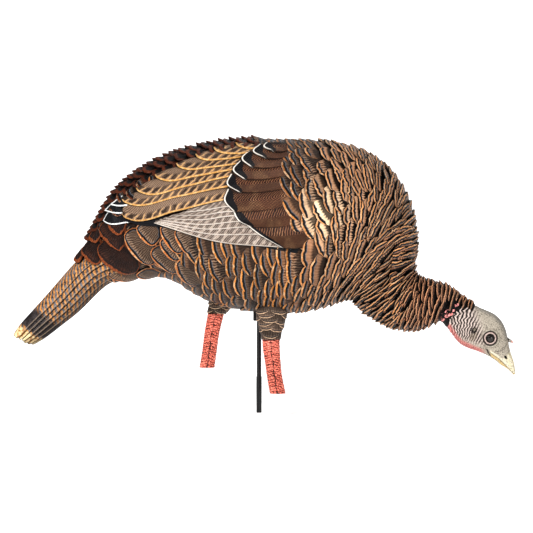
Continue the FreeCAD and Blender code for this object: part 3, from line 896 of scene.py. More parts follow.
def ridge_feathers(material):
    """Rows of square dark feathers with rust tips standing off the rump and lower back."""
    dice = np.random.default_rng(8)
    line = np.linspace(0.7, 5.4, 400)
    spots = []
    for row, angle in enumerate((0.0, 0.2, 0.4, 0.6)):
        path = BODY.point(line, np.full(400, angle)) / MM
        far = np.concatenate([[0], np.cumsum(np.linalg.norm(np.diff(path, axis=0), axis=1))])
        for way in np.arange(8.0 + 9 * (row % 2), far[-1], 18.0):
            t = float(np.interp(way + dice.normal(0, 0.8), far, line))
            spots += [(t, angle), (t, -angle)] if row else [(t, 0.0)]
    t, angle = np.array(spots).T
    count = len(t)
    angle = angle + dice.normal(0, 0.012, count)
    behind = BODY.point(t - 0.05, angle) - BODY.point(t + 0.05, angle)
    turn = np.arctan2(behind[:, 2], behind[:, 0]) + 0.10 * np.abs(angle)
    outer = np.abs(angle) > 0.5
    size = {
        "half": dice.normal(13.5, 0.5, count), "tip": 18.0, "base": 22.0, "power": 3.6, "show": 15.0,
        "ragged": 0.022,
        "lift": np.where(outer, 5.0, 8.2) - 2.2 * smooth(2.2, 1.2, t) + dice.normal(0, 0.4, count),
        "lie": np.where(outer, 0.6, 1.8), "roll": dice.normal(0, 0.5, count),
    }
    shade = (1 + 0.2 * dice.normal(0, 1, count))[:, None]
    paint = {"band": 10.0, "black": 0.0, "wash_and_shade": 0.9, "combing": 0.8, "taper": 0.0, "gap": 1.0,
             "vane": colour("120B08") * shade.clip(0.5, 1.6), "edge": colour("4E2310") * shade.clip(0.7, 1.4)}
    groups = np.floor(t / 1.6).astype(int)
    feather_patches("ridge_feathers", BODY, t, angle, turn, size, paint, groups, material, dice)


# Large feathers over the tail root and the rear flank: the two ends of the rim in the side view, how far the
# tip goes out beyond them, and whether the feather is one of the dark ones with a rust rim.
RUMP_FEATHERS = [
    (-134, 291, -113, 255, 5, False), (-158, 275, -133, 243, 6, False), (-157, 296, -130, 256, 6, False),
    (-195, 296, -170, 269, 5, False), (-131, 244, -108, 197, 9, False), (-173, 258, -136, 222, 7, False),
    (-215, 284, -177, 235, 7, False), (-199, 224, -164, 212, 5, False), (-243, 222, -196, 212, 3, False),
    (-240, 303, -220, 285, 4, True), (-272, 284, -254, 271, 4, True), (-257, 297, -222, 262, 5, True),
    (-294, 247, -281, 239, 3, True), (-284, 264, -258, 238, 5, True), (-258, 260, -205, 221, 9, True),
]


def rump_feathers(material):
    """The large feathers of RUMP_FEATHERS, on both sides."""
    dice = np.random.default_rng(11)
    table = np.array(RUMP_FEATHERS, float)
    start, end, bulge, dark = table[:, :2], table[:, 2:4], table[:, 4], table[:, 5]
    chord = end - start
    width = np.linalg.norm(chord, axis=1)
    out = np.stack([chord[:, 1], -chord[:, 0]], -1) / width[:, None]
    root = (start + end) / 2 - out * (1.2 * bulge)[:, None]
    t, angle = BODY.locate(root[:, 0], root[:, 1])
    layer = np.linspace(2.0, 5.5, len(table))
    turn = np.arctan2(out[:, 1], out[:, 0])
    t = t.clip(0.05)
    t, turn, bulge, dark, width, layer = (np.tile(v, 2) for v in (t, turn, bulge, dark, width, layer))
    angle = np.concatenate([angle, -angle])
    side = np.arange(len(t)) // len(table)
    size = {"half": 0.56 * width, "tip": 2.2 * bulge, "base": 30.0, "lift": 3.4, "power": 2.4, "lie": layer,
            "show": 16.0, "roll": 0.0, "ragged": 0.012 + 0.02 * dark}
    tint = dark[:, None]
    paint = {"band": 7.0 + 2.5 * dark, "black": 1 - dark, "wash_and_shade": 0.5, "combing": 0.5 + 0.4 * dark,
             "taper": 0.5, "gap": 1.0, "vane": np.where(tint, colour("3A2117"), colour("5A4333")),
             "edge": np.where(tint, colour("7A4020"), colour("B06C3A"))}
    feather_patches("rump_feathers", BODY, t, angle, turn, size, paint, side, material, dice)


def underskin(material):
    """The body moulding itself, just under the feathers."""
    t, angle = ring_grid(NECK_END, 220, 160)
    points = BODY.raised(t, angle, 0 * t - 0.6)
    ends = [BODY.point(np.full(2, end), np.array([0.0, math.pi])).mean(0) for end in (0.0, NECK_END)]
    mesh_object("body_moulding", *capped(points, ends), {}, material, "feather_skin", ("body_shell",))


# ---------------------------------------------------------------- wings
# Folded wing feathers as seen from the side: where the tip of each secondary lies, and where its lower edge
# goes under the coverts, from the top one down.
SECONDARY_TIPS = [(-38, 434), (-73, 426), (-102, 415), (-133, 400), (-167, 382), (-197, 360), (-220, 343),
                  (-219, 318)]
SECONDARY_ROOTS = [(3, 425), (-13, 417), (-29, 410), (-41, 398), (-45, 389), (-49, 378), (-51, 362),
                   (-56, 341)]
# Lower edges of the primaries, where they come out from under the last secondary and where they go under the
# coverts, from the top one down.
PRIMARY_TIPS = [(-119, 321), (-137, 316), (-150, 311), (-158, 308), (-162, 306), (-165, 305), (-168, 304)]
PRIMARY_ROOTS = [(-50, 330), (-44, 322), (-36, 315), (-22, 306), (-8, 297), (8, 285), (36, 265)]
# The three dark wing tips behind the secondaries, and a black sheet under the wing that is its painted
# shadow: the lower and the upper line of each.
WING_TIPS = [
    ([(-150, 345), (-205, 333), (-228, 331.5), (-239, 334)],
     [(-150, 372), (-197, 361), (-220, 348), (-239, 334)]),
    ([(-150, 325), (-205, 320), (-235, 320.5), (-248, 324.5)],
     [(-150, 352), (-205, 344), (-236, 336), (-248, 324.5)]),
    ([(-150, 303), (-205, 305), (-244, 304), (-250, 308)],
     [(-150, 330), (-205, 327), (-241, 323), (-250, 308)]),
    ([(60, 256), (36, 260), (-40, 276), (-165, 299), (-200, 303), (-214, 312)],
     [(66, 266), (40, 276), (-40, 292), (-155, 314), (-200, 316), (-214, 312)]),
]
# Rims of the coverts: upper end, foremost point, lower end.
COVERT_RIMS = [
    [(12, 434), (7, 429), (20, 422)],
    [(1, 431), (-10, 421), (7, 411)],
    [(-17, 420), (-28, 409), (-13, 395)],
    [(-31, 404), (-42, 391), (-24, 375)],
    [(-45, 383), (-52, 369), (-32, 354)],
    [(-50, 359), (-56, 342), (-40, 322)],
    [(-44, 330), (-34, 309), (-13, 298)],
    [(-26, 306), (0, 286), (38, 264)],
]
# Where the coverts go under the breast feathers, from the top down.
COVERT_ROOTS = [(58, 430), (56, 423), (55, 412), (54, 398), (56, 382), (60, 362), (70, 335), (86, 305),
                (100, 272)]


def along_line(points, shares):
    """A smooth line through a few points, read at shares of its length from 0 to 1."""
    points = np.array(points, float)
    gaps = np.linalg.norm(np.diff(points, axis=0), axis=1)
    knots = np.concatenate([[0], np.cumsum(gaps)]) / gaps.sum()
    slopes = np.gradient(points, knots, axis=0)
    i = np.clip(np.searchsorted(knots, shares, side="right") - 1, 0, len(points) - 2)
    span = (knots[i + 1] - knots[i])[:, None]
    s = ((shares - knots[i]) / (knots[i + 1] - knots[i]))[:, None]
    return ((2 * s ** 3 - 3 * s ** 2 + 1) * points[i] + (s ** 3 - 2 * s ** 2 + s) * span * slopes[i]
            + (3 * s ** 2 - 2 * s ** 3) * points[i + 1] + (s ** 3 - s ** 2) * span * slopes[i + 1])


def before_tip(lines):
    """How far each place of a line lies before its last one, measured along the line."""
    step = np.linalg.norm(np.diff(lines, axis=0, prepend=lines[:1]), axis=1)
    walked = np.cumsum(step)[:, None]
    return walked[-1:] - walked


def wing_sheet(lower, upper, shares, height, thick, paint, side):
    """One wing feather between two lines of points in the side view; rows run along it, columns across it."""
    lower, upper = along_line(lower, shares), along_line(upper, shares)
    across = np.linspace(0, 1, 9)
    grid = lower[:, None] * (1 - across[None, :, None]) + upper[:, None] * across[None, :, None]
    width = np.linalg.norm(upper - lower, axis=1)[:, None]
    off = across[None] * width
    along = before_tip(lower) + 0 * off
    rim, cover = paint(off, along, width)
    attributes = {"place": np.stack([off, along, 0 * off], -1), "rim": rim, "cover": cover}
    level = height(across, off, along)
    t, angle = lay(BODY, grid, level)
    return slab(BODY, side, t, angle, level, thick, attributes)


def folded(tips, roots, spare_tip, spare_root):
    """Each feather's tip and root, with those of the feather above it."""
    tips, roots = np.array(tips, float), np.array(roots, float)
    above = np.concatenate([[tips[0] + spare_tip], tips[:-1]])
    roof = np.concatenate([[roots[0] + spare_root], roots[:-1]])
    return enumerate(zip(tips, roots, above, roof))


def secondaries(side, material):
    parts = []
    shares = 1 - (1 - np.linspace(0, 1, 44)) ** 1.6

    def paint(off, along, width):
        # The second value, cover, is painted shade on the upper part of each feather, under the one above.
        tucked = smooth(0.35, 1.0, off / np.maximum(width, 8)) * smooth(40, 80, along) * 0.6
        return np.minimum(off, along * 0.8), tucked

    for i, (tip, root, above, roof) in folded(SECONDARY_TIPS, SECONDARY_ROOTS, (10, 0), (0, -1)):
        chin = tip + (12, -8.5)
        lower = [root + (26, 3), root, (chin + root) / 2 + (0, -2), chin, tip + (2.5, -4), tip]
        upper = [roof + (26, 8), roof + (0, 5), above + (16, -3), (tip + above) / 2 + (2, -1), tip]

        def height(across, off, along, i=i):
            tucked = smooth(1.5, 0, np.minimum(off, along))
            sunk = smooth(34, 8, along.max(0) - along)
            return 5.6 + 3.6 * (1 - across)[None] - 0.5 * tucked - 5.0 * sunk + 0.15 * (7 - i)

        parts.append(wing_sheet(lower, upper, shares, height, 5.0, paint, side))
    mesh_object(f"{SIDE_NAMES[side]}_secondaries", *join(parts), material, "wing_skin", mend=True)


def primaries(side, material):
    """The flight feathers, then the sheets of WING_TIPS, the last of which is the painted shadow under the
    wing.
    """
    parts = []
    shares = np.linspace(0, 1, 40)

    def pale_edge(off, along, width):
        return off, 0 * off

    for i, (tip, root, above, roof) in folded(PRIMARY_TIPS, PRIMARY_ROOTS, (10, 8), (0, 12)):
        lower = [root + (20, -2), root, (tip + root) / 2 + (0, -1.0 - 1.6 * i), tip]
        upper = [roof + (20, 6), roof + (0, 5), (above + roof) / 2 + (0, 3), above + (0, 3)]

        def height(across, off, along, i=i):
            return 4.6 + 2.4 * (1 - across)[None] - 0.5 * smooth(1.2, 0, off) + 0.1 * (7 - i)

        parts.append(wing_sheet(lower, upper, shares, height, 5.0, pale_edge, side))
    for i, (lower, upper) in enumerate(WING_TIPS):
        # The last sheet is painted shadow under the wing: black all over, with no white outline.
        shadow_sheet = i == len(WING_TIPS) - 1

        def paint(off, along, width, shadow_sheet=shadow_sheet):
            edge = np.minimum(np.minimum(off, width - off + 0.3), along)
            return edge + (9 if shadow_sheet else 9 * smooth(40, 50, along)), 0 * off + 1

        def height(across, off, along, i=i, shadow_sheet=shadow_sheet):
            return 3.6 + 1.2 * (1 - across)[None] + 0.3 * (2 - i) + 3.6 * smooth(32, 18, along) * (not shadow_sheet)

        parts.append(wing_sheet(lower, upper, shares, height, 4.0, paint, side))
    name = SIDE_NAMES[side]
    mesh_object(f"{name}_primaries", *join(parts), material, "wing_skin", (f"{name}_wing",), mend=True)


def coverts(side, material):
    parts = []
    rows, columns = 26, 15
    u = np.linspace(0, 1, columns)[None].repeat(rows, 0)
    for i, rim_points in enumerate(COVERT_RIMS):
        high, low = COVERT_ROOTS[i], COVERT_ROOTS[i + 1]
        rim = along_line(rim_points, u[0])
        root = along_line([high, np.add(high, low) / 2, low], u[0])
        root[:, 1] += np.linspace(4, 0, columns)
        share = np.linspace(0, 1, rows)[:, None, None] ** 0.8
        grid = root[None] * (1 - share) + rim[None] * share
        grid[..., 1] -= 4.0 * np.sin(np.linspace(0, math.pi, rows))[:, None] * u
        share = share[..., 0]
        along = (1 - share) * np.linalg.norm(rim - root, axis=1)[None]
        width = np.linalg.norm(rim[-1] - rim[0])
        low_edge = (1 - u) * width
        crescent = 3.0 + 13.0 * np.clip(1 - (2 * u - 1) ** 2, 0, 1) ** 0.7
        if i == len(COVERT_RIMS) - 1:
            crescent = crescent * 0.6
        attributes = {
            "place": np.stack([(u - 0.5) * width, along, u * 0], -1),
            "rim": along,
            "band": crescent,
            # cover: painted shade where the covert goes under the one above, and a dark line along its lower
            # edge.
            "cover": smooth(0.34, 0.06, u) * smooth(2, 14, along) * 0.95 + 0.8 * smooth(1.6, 0.4, low_edge),
        }
        height = -1.0 + 10.5 * share ** 0.8 + 2.6 * u * share + 0.8 * np.sin(math.pi * u)
        height -= 0.6 * smooth(2.0, 0, np.minimum(along, low_edge + 0.5))
        t, angle = lay(BODY, grid, height)
        parts.append(slab(BODY, side, t, angle, height, 7.0, attributes))
    mesh_object(f"{SIDE_NAMES[side]}_coverts", *join(parts), material, "wing_skin", mend=True)


# ---------------------------------------------------------------- tail
# The feathers of half the closed fan, from the top edge down: the degrees round the tail where each starts
# and where the last ends, how many rings before the tail's end each stops, and how dark the painted shade
# makes each.
TAIL_EDGES = (-4, 64, 84, 102, 120, 142, 184)
TAIL_SHORT = (0.02, 0.10, 0.16, 0.12, 0.2, 0.3)
TAIL_PAINTED_SHADE = (0, 0.1, 0.1, 0.3, 0.5, 0.72)


def tail(material):
    """Six long feathers on each side of the closed fan, laid one over the next from the top edge down."""
    parts = []
    share, across = np.meshgrid(np.linspace(0, 1, 60), np.linspace(0, 1, 9), indexing="ij")
    edges = np.radians(TAIL_EDGES)
    for side in (RIGHT, LEFT):
        for i, (short, shade) in enumerate(zip(TAIL_SHORT, TAIL_PAINTED_SHADE)):
            t = 0.12 + (TAIL.last - short - 0.12) * share
            spread = (edges[i + 1] - edges[i]) / 2 * (1.12 - 0.25 * smooth(0.96, 1.0, share))
            middle = (edges[i] + edges[i + 1]) / 2
            angle = middle + spread * (2 * across - 1) + 0.12 * (i > 0) * (across < 0.01)
            here = TAIL.point(t, angle * side) / MM
            width = np.linalg.norm(here[:, -1] - here[:, 0], axis=1)[:, None]
            off = across * width
            along = before_tip(here[:, 4]) + 0 * off
            gap = np.minimum(width - off, along)
            # band: painted shade, over the whole of the lower feathers and along each feather's upper edge,
            # under the one above.
            attributes = {"place": np.stack([off, along, off * 0], -1), "rim": gap,
                          "band": shade + 0.5 * smooth(2.5, 0, off) * (i > 0)}
            height = 0.4 + 1.9 * across + 0.22 * (5 - i) - 0.4 * smooth(1.0, 0, gap)
            parts.append(slab(TAIL, side, t, angle, height, 2.4, attributes))
    mesh_object("tail_feathers", *join(parts), material, "tail_skin", ("tail_fan",), mend=True)


# ---------------------------------------------------------------- head
EYE = (369.0, 121.0)
EYE_OUT = 15.6


def spot(x, z, centre, radius, stretch=1.0, turn=0.0):
    """1 inside a soft oval in the side view, 0 outside it."""
    dx, dz = x - centre[0], z - centre[1]
    c, s = math.cos(turn), math.sin(turn)
    far = np.hypot((dx * c + dz * s) / stretch, -dx * s + dz * c)
    return 1 - smooth(radius * 0.75, radius * 1.15, far)


def line_gap(x, z, points):
    """Distance in mm from places in the side view to a line of points."""
    best = np.full(np.shape(x), 1e9)
    for (x0, z0), (x1, z1) in zip(points, points[1:]):
        dx, dz = x1 - x0, z1 - z0
        share = np.clip(((x - x0) * dx + (z - z0) * dz) / (dx * dx + dz * dz), 0, 1)
        best = np.minimum(best, np.hypot(x - x0 - share * dx, z - z0 - share * dz))
    return best


# Lines on the head in the side view, x and z, and the fleshy lumps where the feathers end: x, z and radius.
CROWN = [(330, 182), (354, 169), (376, 159), (391, 143), (398, 122)]
THROAT = [(292, 146), (301, 137), (309, 124), (320, 112), (344, 101), (362, 94)]
MOUTH = [(365, 101.5), (371, 96), (384, 87), (396, 75), (406, 64)]
GAPE = [(364, 103), (366, 98), (370, 93)]
BILL_RIDGE = [(392, 100), (401, 88), (407, 72)]
CERE = [(396, 111), (393, 104), (386, 100), (377, 99)]
CARUNCLES = [(287.5, 161.5, 5.0), (295, 166, 4.0), (300.5, 158.5, 4.3), (294, 152, 3.4), (303.5, 170, 3.6),
             (298, 174, 3.0), (309, 166, 3.2), (306, 160, 3.0), (315, 174, 3.0), (292, 157, 2.6),
             (311, 172, 2.6), (300, 165, 3.0)]


def wrinkles(x, z):
    """Folds of the bare neck skin: their depth from 0 to 1 and how strongly they show."""
    lean = -0.1 + 0.62 * smooth(298, 352, x)
    wander = 1.2 * np.sin(z * 0.40 + x * 0.09) + 0.7 * np.sin(z * 0.83 - x * 0.15 + 1.0)
    fold = 0.5 + 0.5 * np.cos(TAU * (x - lean * (z - 148) + wander * smooth(356, 325, x)) / 5.2)
    fade = smooth(298, 308, x) * (1 - smooth(338, 360, x + 0.3 * (z - 150)))
    fade *= smooth(112, 128, z + 0.25 * (x - 320))
    return fold ** 1.15, fade


def head_mesh(material):
    t, angle = ring_grid(HEAD.last - 0.02, 300, 220)
    points = HEAD.point(t, angle)
    x, z = points[..., 0] / MM, points[..., 2] / MM
    flank = np.abs(np.sin(angle))
    tint = 0 * points + colour("ADA496")
    height = np.zeros(x.shape)

    def paint(share, code):
        tint[:] = tint * (1 - share[..., None]) + colour(code) * share[..., None]

    paint(0.75 * smooth(8, 0, line_gap(x, z, CROWN)), "827F79")
    fold, fade = wrinkles(x, z)
    paint(0.6 * fade, "DCC6C0")
    paint(np.clip((fold * 1.5 - 0.15) * fade, 0, 1), "0C0A09")
    height -= 1.7 * fold * fade
    throat = smooth(9.5, 3.5, line_gap(x, z, THROAT)) * (1 - smooth(352, 366, x))
    paint(throat, "C87E78")
    paint(throat * smooth(0.5, 0.9, fold) * smooth(345, 310, x) * 0.6, "5E2424")
    for *centre, radius in CARUNCLES:
        lump = spot(x, z, centre, radius, 1.25, 0.2) * smooth(0.2, 0.5, flank)
        ring = np.clip(spot(x, z, centre, radius + 2.2, 1.2, 0.2) - lump, 0, 1) * smooth(0.2, 0.5, flank)
        paint(ring * 0.8, "1A1110")
        paint(lump, "F2A09C")
        height += 4.2 * lump - 0.6 * ring
    ear = spot(x, z, (343, 133.5), 4.6, 1.3, 1.1) * flank
    paint(0.95 * ear, "14110F")
    height -= 2.0 * ear
    paint(0.8 * spot(x, z, (344, 135), 2.0, 1.3, 1.1) * flank, "8A8072")
    paint(0.6 * np.clip(spot(x, z, (342, 124), 6.5, 1.5, 1.2) - ear, 0, 1) * flank, "7A6E5E")
    far = np.hypot(x - EYE[0], z - EYE[1])
    socket = smooth(12.4, 10.2, far)
    paint(0.95 * smooth(1.9, 0.9, np.abs(far - 10.9)), "14110F")
    paint(smooth(1.4, 0.7, np.abs(far - 8.9)), "BFA8A0")
    paint(smooth(8.0, 7.4, far), "0A0807")
    height -= 1.6 * socket * (far > 9.9) + 0.6 * socket * (far <= 9.9)
    height += 1.3 * smooth(2.4, 0.4, np.abs(far - 13.6)) * flank
    paint(0.5 * smooth(1.2, 0.2, np.abs(far - 15.5)) * flank, "6B6357")
    bill = smooth(-2.5, 2.5, (x - 392) * 0.88 + (92 - z) * 0.9 - 3.0)
    bill = np.maximum(bill, smooth(4.6, 3.2, line_gap(x, z, MOUTH)) * smooth(366, 372, x))
    paint(bill, "D0C8B2")
    under = bill * smooth(-0.6, 0.6, -(z - np.interp(x, *np.transpose(MOUTH))) - 0.2)
    paint(0.85 * under, "BFA36C")
    paint(0.45 * bill * smooth(2.0, 0.5, np.abs(line_gap(x, z, BILL_RIDGE) - 3)), "C9B98E")
    mouth = smooth(1.0, 0.25, line_gap(x, z, MOUTH))
    paint(0.85 * mouth * flank, "1E1611")
    height -= 1.0 * mouth * flank
    paint(0.9 * smooth(1.6, 0.5, line_gap(x, z, GAPE)), "120F0D")
    nostril = spot(x, z, (395, 89.5), 2.2, 1.6, -0.9) * smooth(0.3, 0.6, flank)
    paint(nostril, "14110F")
    height -= 1.3 * nostril
    cere = smooth(1.2, 0.2, line_gap(x, z, CERE))
    paint(0.6 * cere, "4A4238")
    height -= 0.5 * cere
    dice = np.random.default_rng(3)
    granule = np.sin(x * 2.3 + 1.4 * np.sin(z * 1.1)) * np.sin(z * 2.6 + 1.3 * np.sin(x * 1.3))
    bare = (1 - bill) * (1 - fade) * smooth(9.0, 13.0, far)
    paint(0.55 * bare * smooth(0.1, 0.6, granule), "3C3730")
    height += 0.06 * dice.normal(size=x.shape) - 0.35 * bare * smooth(0.1, 0.6, granule)
    points = HEAD.raised(t, angle, height)
    last = points[-1].mean(0)
    tip = last + (last - points[-6].mean(0)) * 0.3
    skin_object("head_skin", points, tint, material, "bare_skin", ("head",), tip)


def eye(side, material):
    """A glossy eye: a slightly flattened bead in its lid."""
    radius, depth, columns = 7.9, 7.9 * 0.92, 40
    middle = np.array([EYE[0], -side * (EYE_OUT + 0.2), EYE[1]])
    lat, lon = np.linspace(0, math.pi, 26)[1:-1], np.arange(columns) * TAU / columns
    lat, lon = np.meshgrid(lat, lon, indexing="ij")
    round_x, round_z = radius * np.sin(lat) * np.cos(lon), radius * np.sin(lat) * np.sin(lon)
    ball = middle + np.stack([round_x, -side * depth * np.cos(lat), round_z], -1)
    points, faces = capped(ball, [middle - (0, side * depth, 0), middle + (0, side * depth, 0)], side == LEFT)
    name = SIDE_NAMES[side]
    mesh_object(f"{name}_glass_eye", points * MM, faces, {}, material, "eye", (f"{name}_eye",))


def snood(material):
    """The short soft horn over the bill."""
    columns, lean = 28, math.radians(-22)
    share = np.linspace(0, 1, 24)
    middle = along_line([(386, 121), (394, 118.5), (401, 116), (408, 112.5)], share)
    radius = 4.4 * np.sqrt(np.clip(1 - share ** 3, 0, 1)) * (1 - 0.35 * share) + 0.25 * np.sin(share * 40)
    around = (np.arange(columns) * TAU / columns)[None]
    up, out = radius[:, None] * np.cos(around), radius[:, None] * np.sin(around)
    ahead, above = middle[:, :1] - math.sin(lean) * up, middle[:, 1:] + math.cos(lean) * up
    points = np.stack([ahead, out, above], -1) * MM
    tones = np.array([colour(code) for code in ("2A2421", "8F8880", "D09A8E")])
    tint = tones[np.digitize(share, (0.64, 0.8))][:, None] + 0 * points
    skin_object("snood", points, tint, material, "bare_skin")


# ---------------------------------------------------------------- legs
def limb_tube(rings, middle):
    """A leg part as a tube: each ring is its centre's height, its centre's x, half length and half width."""
    return Tube([(x + long, z, x - long, z, wide, 0) for z, x, long, wide in rings], middle)


LEGS = {
    "right": {
        "middle": -32,
        "thigh": [(176, 20, 25, 22), (162, 20, 24, 21), (148, 19.5, 21, 19), (134, 19.5, 17.5, 16),
                  (121, 19.5, 14, 13)],
        "shank": [(128, 19.5, 13.6, 12), (108, 19.5, 13.2, 11.5), (84, 22, 12.2, 11), (60, 25, 11.8, 10.6),
                  (34, 30, 12.2, 10.8)],
    },
    "left": {
        "middle": 32,
        "thigh": [(190, -55, 25, 21), (178, -58, 22, 20), (168, -63, 18, 17), (158, -68, 14, 14)],
        "shank": [(166, -68, 13.2, 12), (150, -71, 12.6, 11.6), (126, -76, 11.8, 11),
                  (100, -79.5, 11.4, 10.6), (70, -84, 11.8, 10.8)],
    },
}


def thigh(name, material, skin):
    """The short feathered thigh: a plain moulding under wide arcs of feathers that point down."""
    show, gap = 8.0, 34.0
    tube = limb_tube(LEGS[name]["thigh"], LEGS[name]["middle"])
    points = tube.point(*ring_grid(tube.last, 60, 64))
    tint = 0 * points + colour("4E443B")
    skin_object(f"{name}_thigh_moulding", points, tint, skin, "thigh_skin", (f"{name}_thigh",))
    dice = np.random.default_rng(17)

    def keep(x, z, t, angle):
        return z > 100

    def spacing(x, z):
        return 0 * x - math.pi / 2, 0 * x + show, 0 * x + gap

    t, angle, turn, _, _ = scatter(tube, (0.1, tube.last - 0.05), keep, spacing, dice, 900)
    t, turn, angle = np.tile(t, 2), np.tile(turn, 2), np.concatenate([angle, -angle])
    size = {"half": gap * 0.62, "tip": show * 1.1 + 4, "base": show * 1.2, "lift": 1.2, "power": 2.0,
            "lie": 0.0, "show": show, "roll": 0.0, "ragged": 0.01}
    vane = colour("5E4C40") * (1 + 0.15 * dice.normal(size=len(t)))[:, None]
    paint = {"band": 3.0, "black": 0.5, "wash_and_shade": 0.5, "combing": 0.3, "taper": 0.6, "gap": 1.0,
             "vane": vane, "edge": colour("BFA084")}
    group = np.zeros(len(t), int)
    feather_patches(f"{name}_thigh_feathers", tube, t, angle, turn, size, paint, group, material, dice,
                    "thigh_skin")


def patches(dice, rows, columns):
    """Soft random patches, from 0 to 1, over a grid whose columns go all the way round."""
    coarse = dice.uniform(0, 1, (rows // 5 + 2, columns // 8))
    r = np.linspace(0, coarse.shape[0] - 1.001, rows)
    c = np.linspace(0, coarse.shape[1], columns, endpoint=False)
    r0, c0 = r.astype(int), c.astype(int)
    down, right = (r - r0)[:, None], (c - c0)[None]
    coarse = np.concatenate([coarse, coarse[:, :1]], 1)
    upper = coarse[np.ix_(r0, c0)] * (1 - right) + coarse[np.ix_(r0, c0 + 1)] * right
    lower = coarse[np.ix_(r0 + 1, c0)] * (1 - right) + coarse[np.ix_(r0 + 1, c0 + 1)] * right
    return upper * (1 - down) + lower * down


def shank(name, material):
    """The bare scaly leg: rows of scutes on each side of a dark furrow."""
    tube = limb_tube(LEGS[name]["shank"], LEGS[name]["middle"])
    t, angle = ring_grid(tube.last, 260, 160)
    z = tube.point(t, angle)[..., 2] / MM
    off = np.minimum(angle, TAU - angle) - math.pi / 2
    wander = 0.5 * np.sin(z * 0.31 + 2 * angle) + 0.35 * np.sin(z * 0.83 + 5 * angle)
    row = (z + 3.2 * np.abs(off) + wander * 1.6) / 3.9
    column = angle * 16 / TAU + 0.5 * (np.floor(row) % 2) + 0.12 * np.sin(z * 0.9)
    gap, split = (0.5 + 0.5 * np.cos(TAU * v) for v in (row, column))
    furrow = smooth(0.1, 0.03, np.abs(off + 0.04 * np.sin(z * 0.25)))
    groove = np.maximum(np.clip(gap ** 5 + 0.8 * split ** 10, 0, 1), furrow * 0.8)
    patch = patches(np.random.default_rng(23), 260, 160)
    tint = colour("DD7563") * (0.8 + 0.45 * patch)[..., None]
    pale = smooth(0.55, 0.95, patch)[..., None] * 0.35
    tint = tint * (1 - pale) + colour("F0AE9A") * pale
    ink = np.clip(groove * (0.5 + 0.9 * smooth(0.3, 0.7, 1 - patch)) + furrow * 0.2, 0, 1)[..., None]
    tint = tint * (1 - ink) + colour("1D1413") * ink
    points = tube.raised(t, angle, 0.5 - 1.3 * groove)
    skin_object(f"{name}_scaly_leg", points, tint, material, "leg_skin", (f"{name}_leg",))


# ---------------------------------------------------------------- frame, stage, light
def paint_frame():
    """Paints the frame's own nodes by their material slot; the other slots' nodes are replaced."""
    materials = {"black_nylon": nylon_paint(), "stake_tube": stake_paint(), "stake_metal": steel_paint(),
                 "moulded_rubber": rubber_paint()}
    for entry in frame["record"]["subparts"]:
        if entry["material_slot"] in materials:
            for slot in frame["nodes"][entry["node"]].material_slots:
                slot.material = materials[entry["material_slot"]]


def place_in_scene(name, data, place=None, target=None):
    """A new object; with a place, it stands there and looks at the target."""
    made = bpy.data.objects.new(name, data)
    if place is not None:
        made.location = place
        made.rotation_euler = (target - made.location).to_track_quat("-Z", "Y").to_euler()
    bpy.context.collection.objects.link(made)
    return made


def floor():
    """A wide pale floor that turns into plain white away from the object."""
    p = Paint("white_floor")
    material = p.finish(p.mix(p.noise(3), (0.88, 0.88, 0.88, 1), (0.92, 0.92, 0.92, 1)), 0.9)
    away = p.node("VectorMath", operation="LENGTH")
    p.put(away.inputs[0], p.node("TexCoord").outputs["Object"])
    p.shine(Emission_Color=(1, 1, 1, 1), Emission_Strength=p.step(away.outputs["Value"], 1.2, 3.5, 0.45, 1.0))
    mesh = bpy.data.meshes.new("floor")
    half, level = 60, -0.004
    corners = [(-half, -half, level), (half, -half, level), (half, half, level), (-half, half, level)]
    mesh.from_pydata(corners, [], [(0, 1, 2, 3)])
    mesh.materials.append(material)
    place_in_scene("floor", mesh)


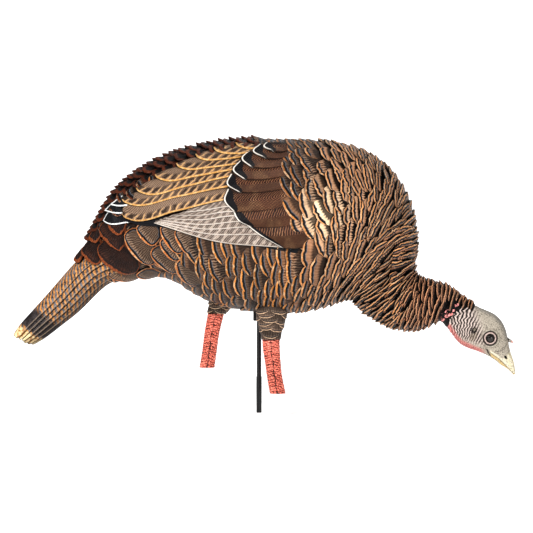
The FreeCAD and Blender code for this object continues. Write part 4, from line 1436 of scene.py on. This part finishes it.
def white_world():
    """A world that looks white and lights softly."""
    world = bpy.data.worlds.new("studio")
    bpy.context.scene.world = world
    world.use_nodes = True
    nodes, links = world.node_tree.nodes, world.node_tree.links
    background = nodes["Background"]
    background.inputs["Color"].default_value = (1, 1, 1, 1)
    shown = nodes.new("ShaderNodeMapRange")
    shown.inputs["To Min"].default_value = 0.26
    shown.inputs["To Max"].default_value = 1.0
    links.new(nodes.new("ShaderNodeLightPath").outputs["Is Camera Ray"], shown.inputs["Value"])
    links.new(shown.outputs[0], background.inputs["Strength"])


def studio():
    floor()
    white_world()
    for name, place, size, power in (
        ("key", (-0.8, -2.0, 1.5), 0.7, 62),
        ("top", (0.3, 0.6, 2.4), 1.2, 12),
        ("fill", (1.5, -1.9, 0.4), 1.0, 14),
        ("back", (0.7, 2.6, 0.9), 2.0, 13),
    ):
        light = bpy.data.lights.new(name, "AREA")
        light.size = size
        light.energy = power
        place_in_scene(name, light, place, Vector((0.0, 0.0, 0.28)))
    camera = bpy.data.cameras.new("camera")
    camera.lens = camera.sensor_width * DISTANCE / VIEW_WIDTH
    aim = Vector(AIM.tolist())
    stand = aim + Vector((0, -math.cos(VIEW_TILT), math.sin(VIEW_TILT))) * DISTANCE
    scene = bpy.context.scene
    scene.camera = place_in_scene("camera", camera, stand, aim)
    scene.view_settings.view_transform = "Standard"
    scene.view_settings.look = "Medium High Contrast"


def main():
    studio()
    plumage = feather_paint()
    underskin(underskin_paint())
    body_feathers(plumage)
    rump_feathers(plumage)
    ridge_feathers(plumage)
    wing_materials = secondary_paint(), primary_paint(), covert_paint()
    for side in (RIGHT, LEFT):
        for build, material in zip((secondaries, primaries, coverts), wing_materials):
            build(side, material)
    tail(tail_paint())
    head_skin = painted_skin("bare_head_skin", 0.5, 430, 0.0006, 0.6)
    head_mesh(head_skin)
    snood(head_skin)
    glass = eye_paint()
    leg_skin = painted_skin("scaly_leg_skin", 0.45, 500, 0.0003, 0.15)
    thigh_skin = painted_skin("thigh_skin", 0.6, 400, 0.0004, 0.3)
    for side, name in SIDE_NAMES.items():
        eye(side, glass)
        thigh(name, plumage, thigh_skin)
        shank(name, leg_skin)
    paint_frame()


main()
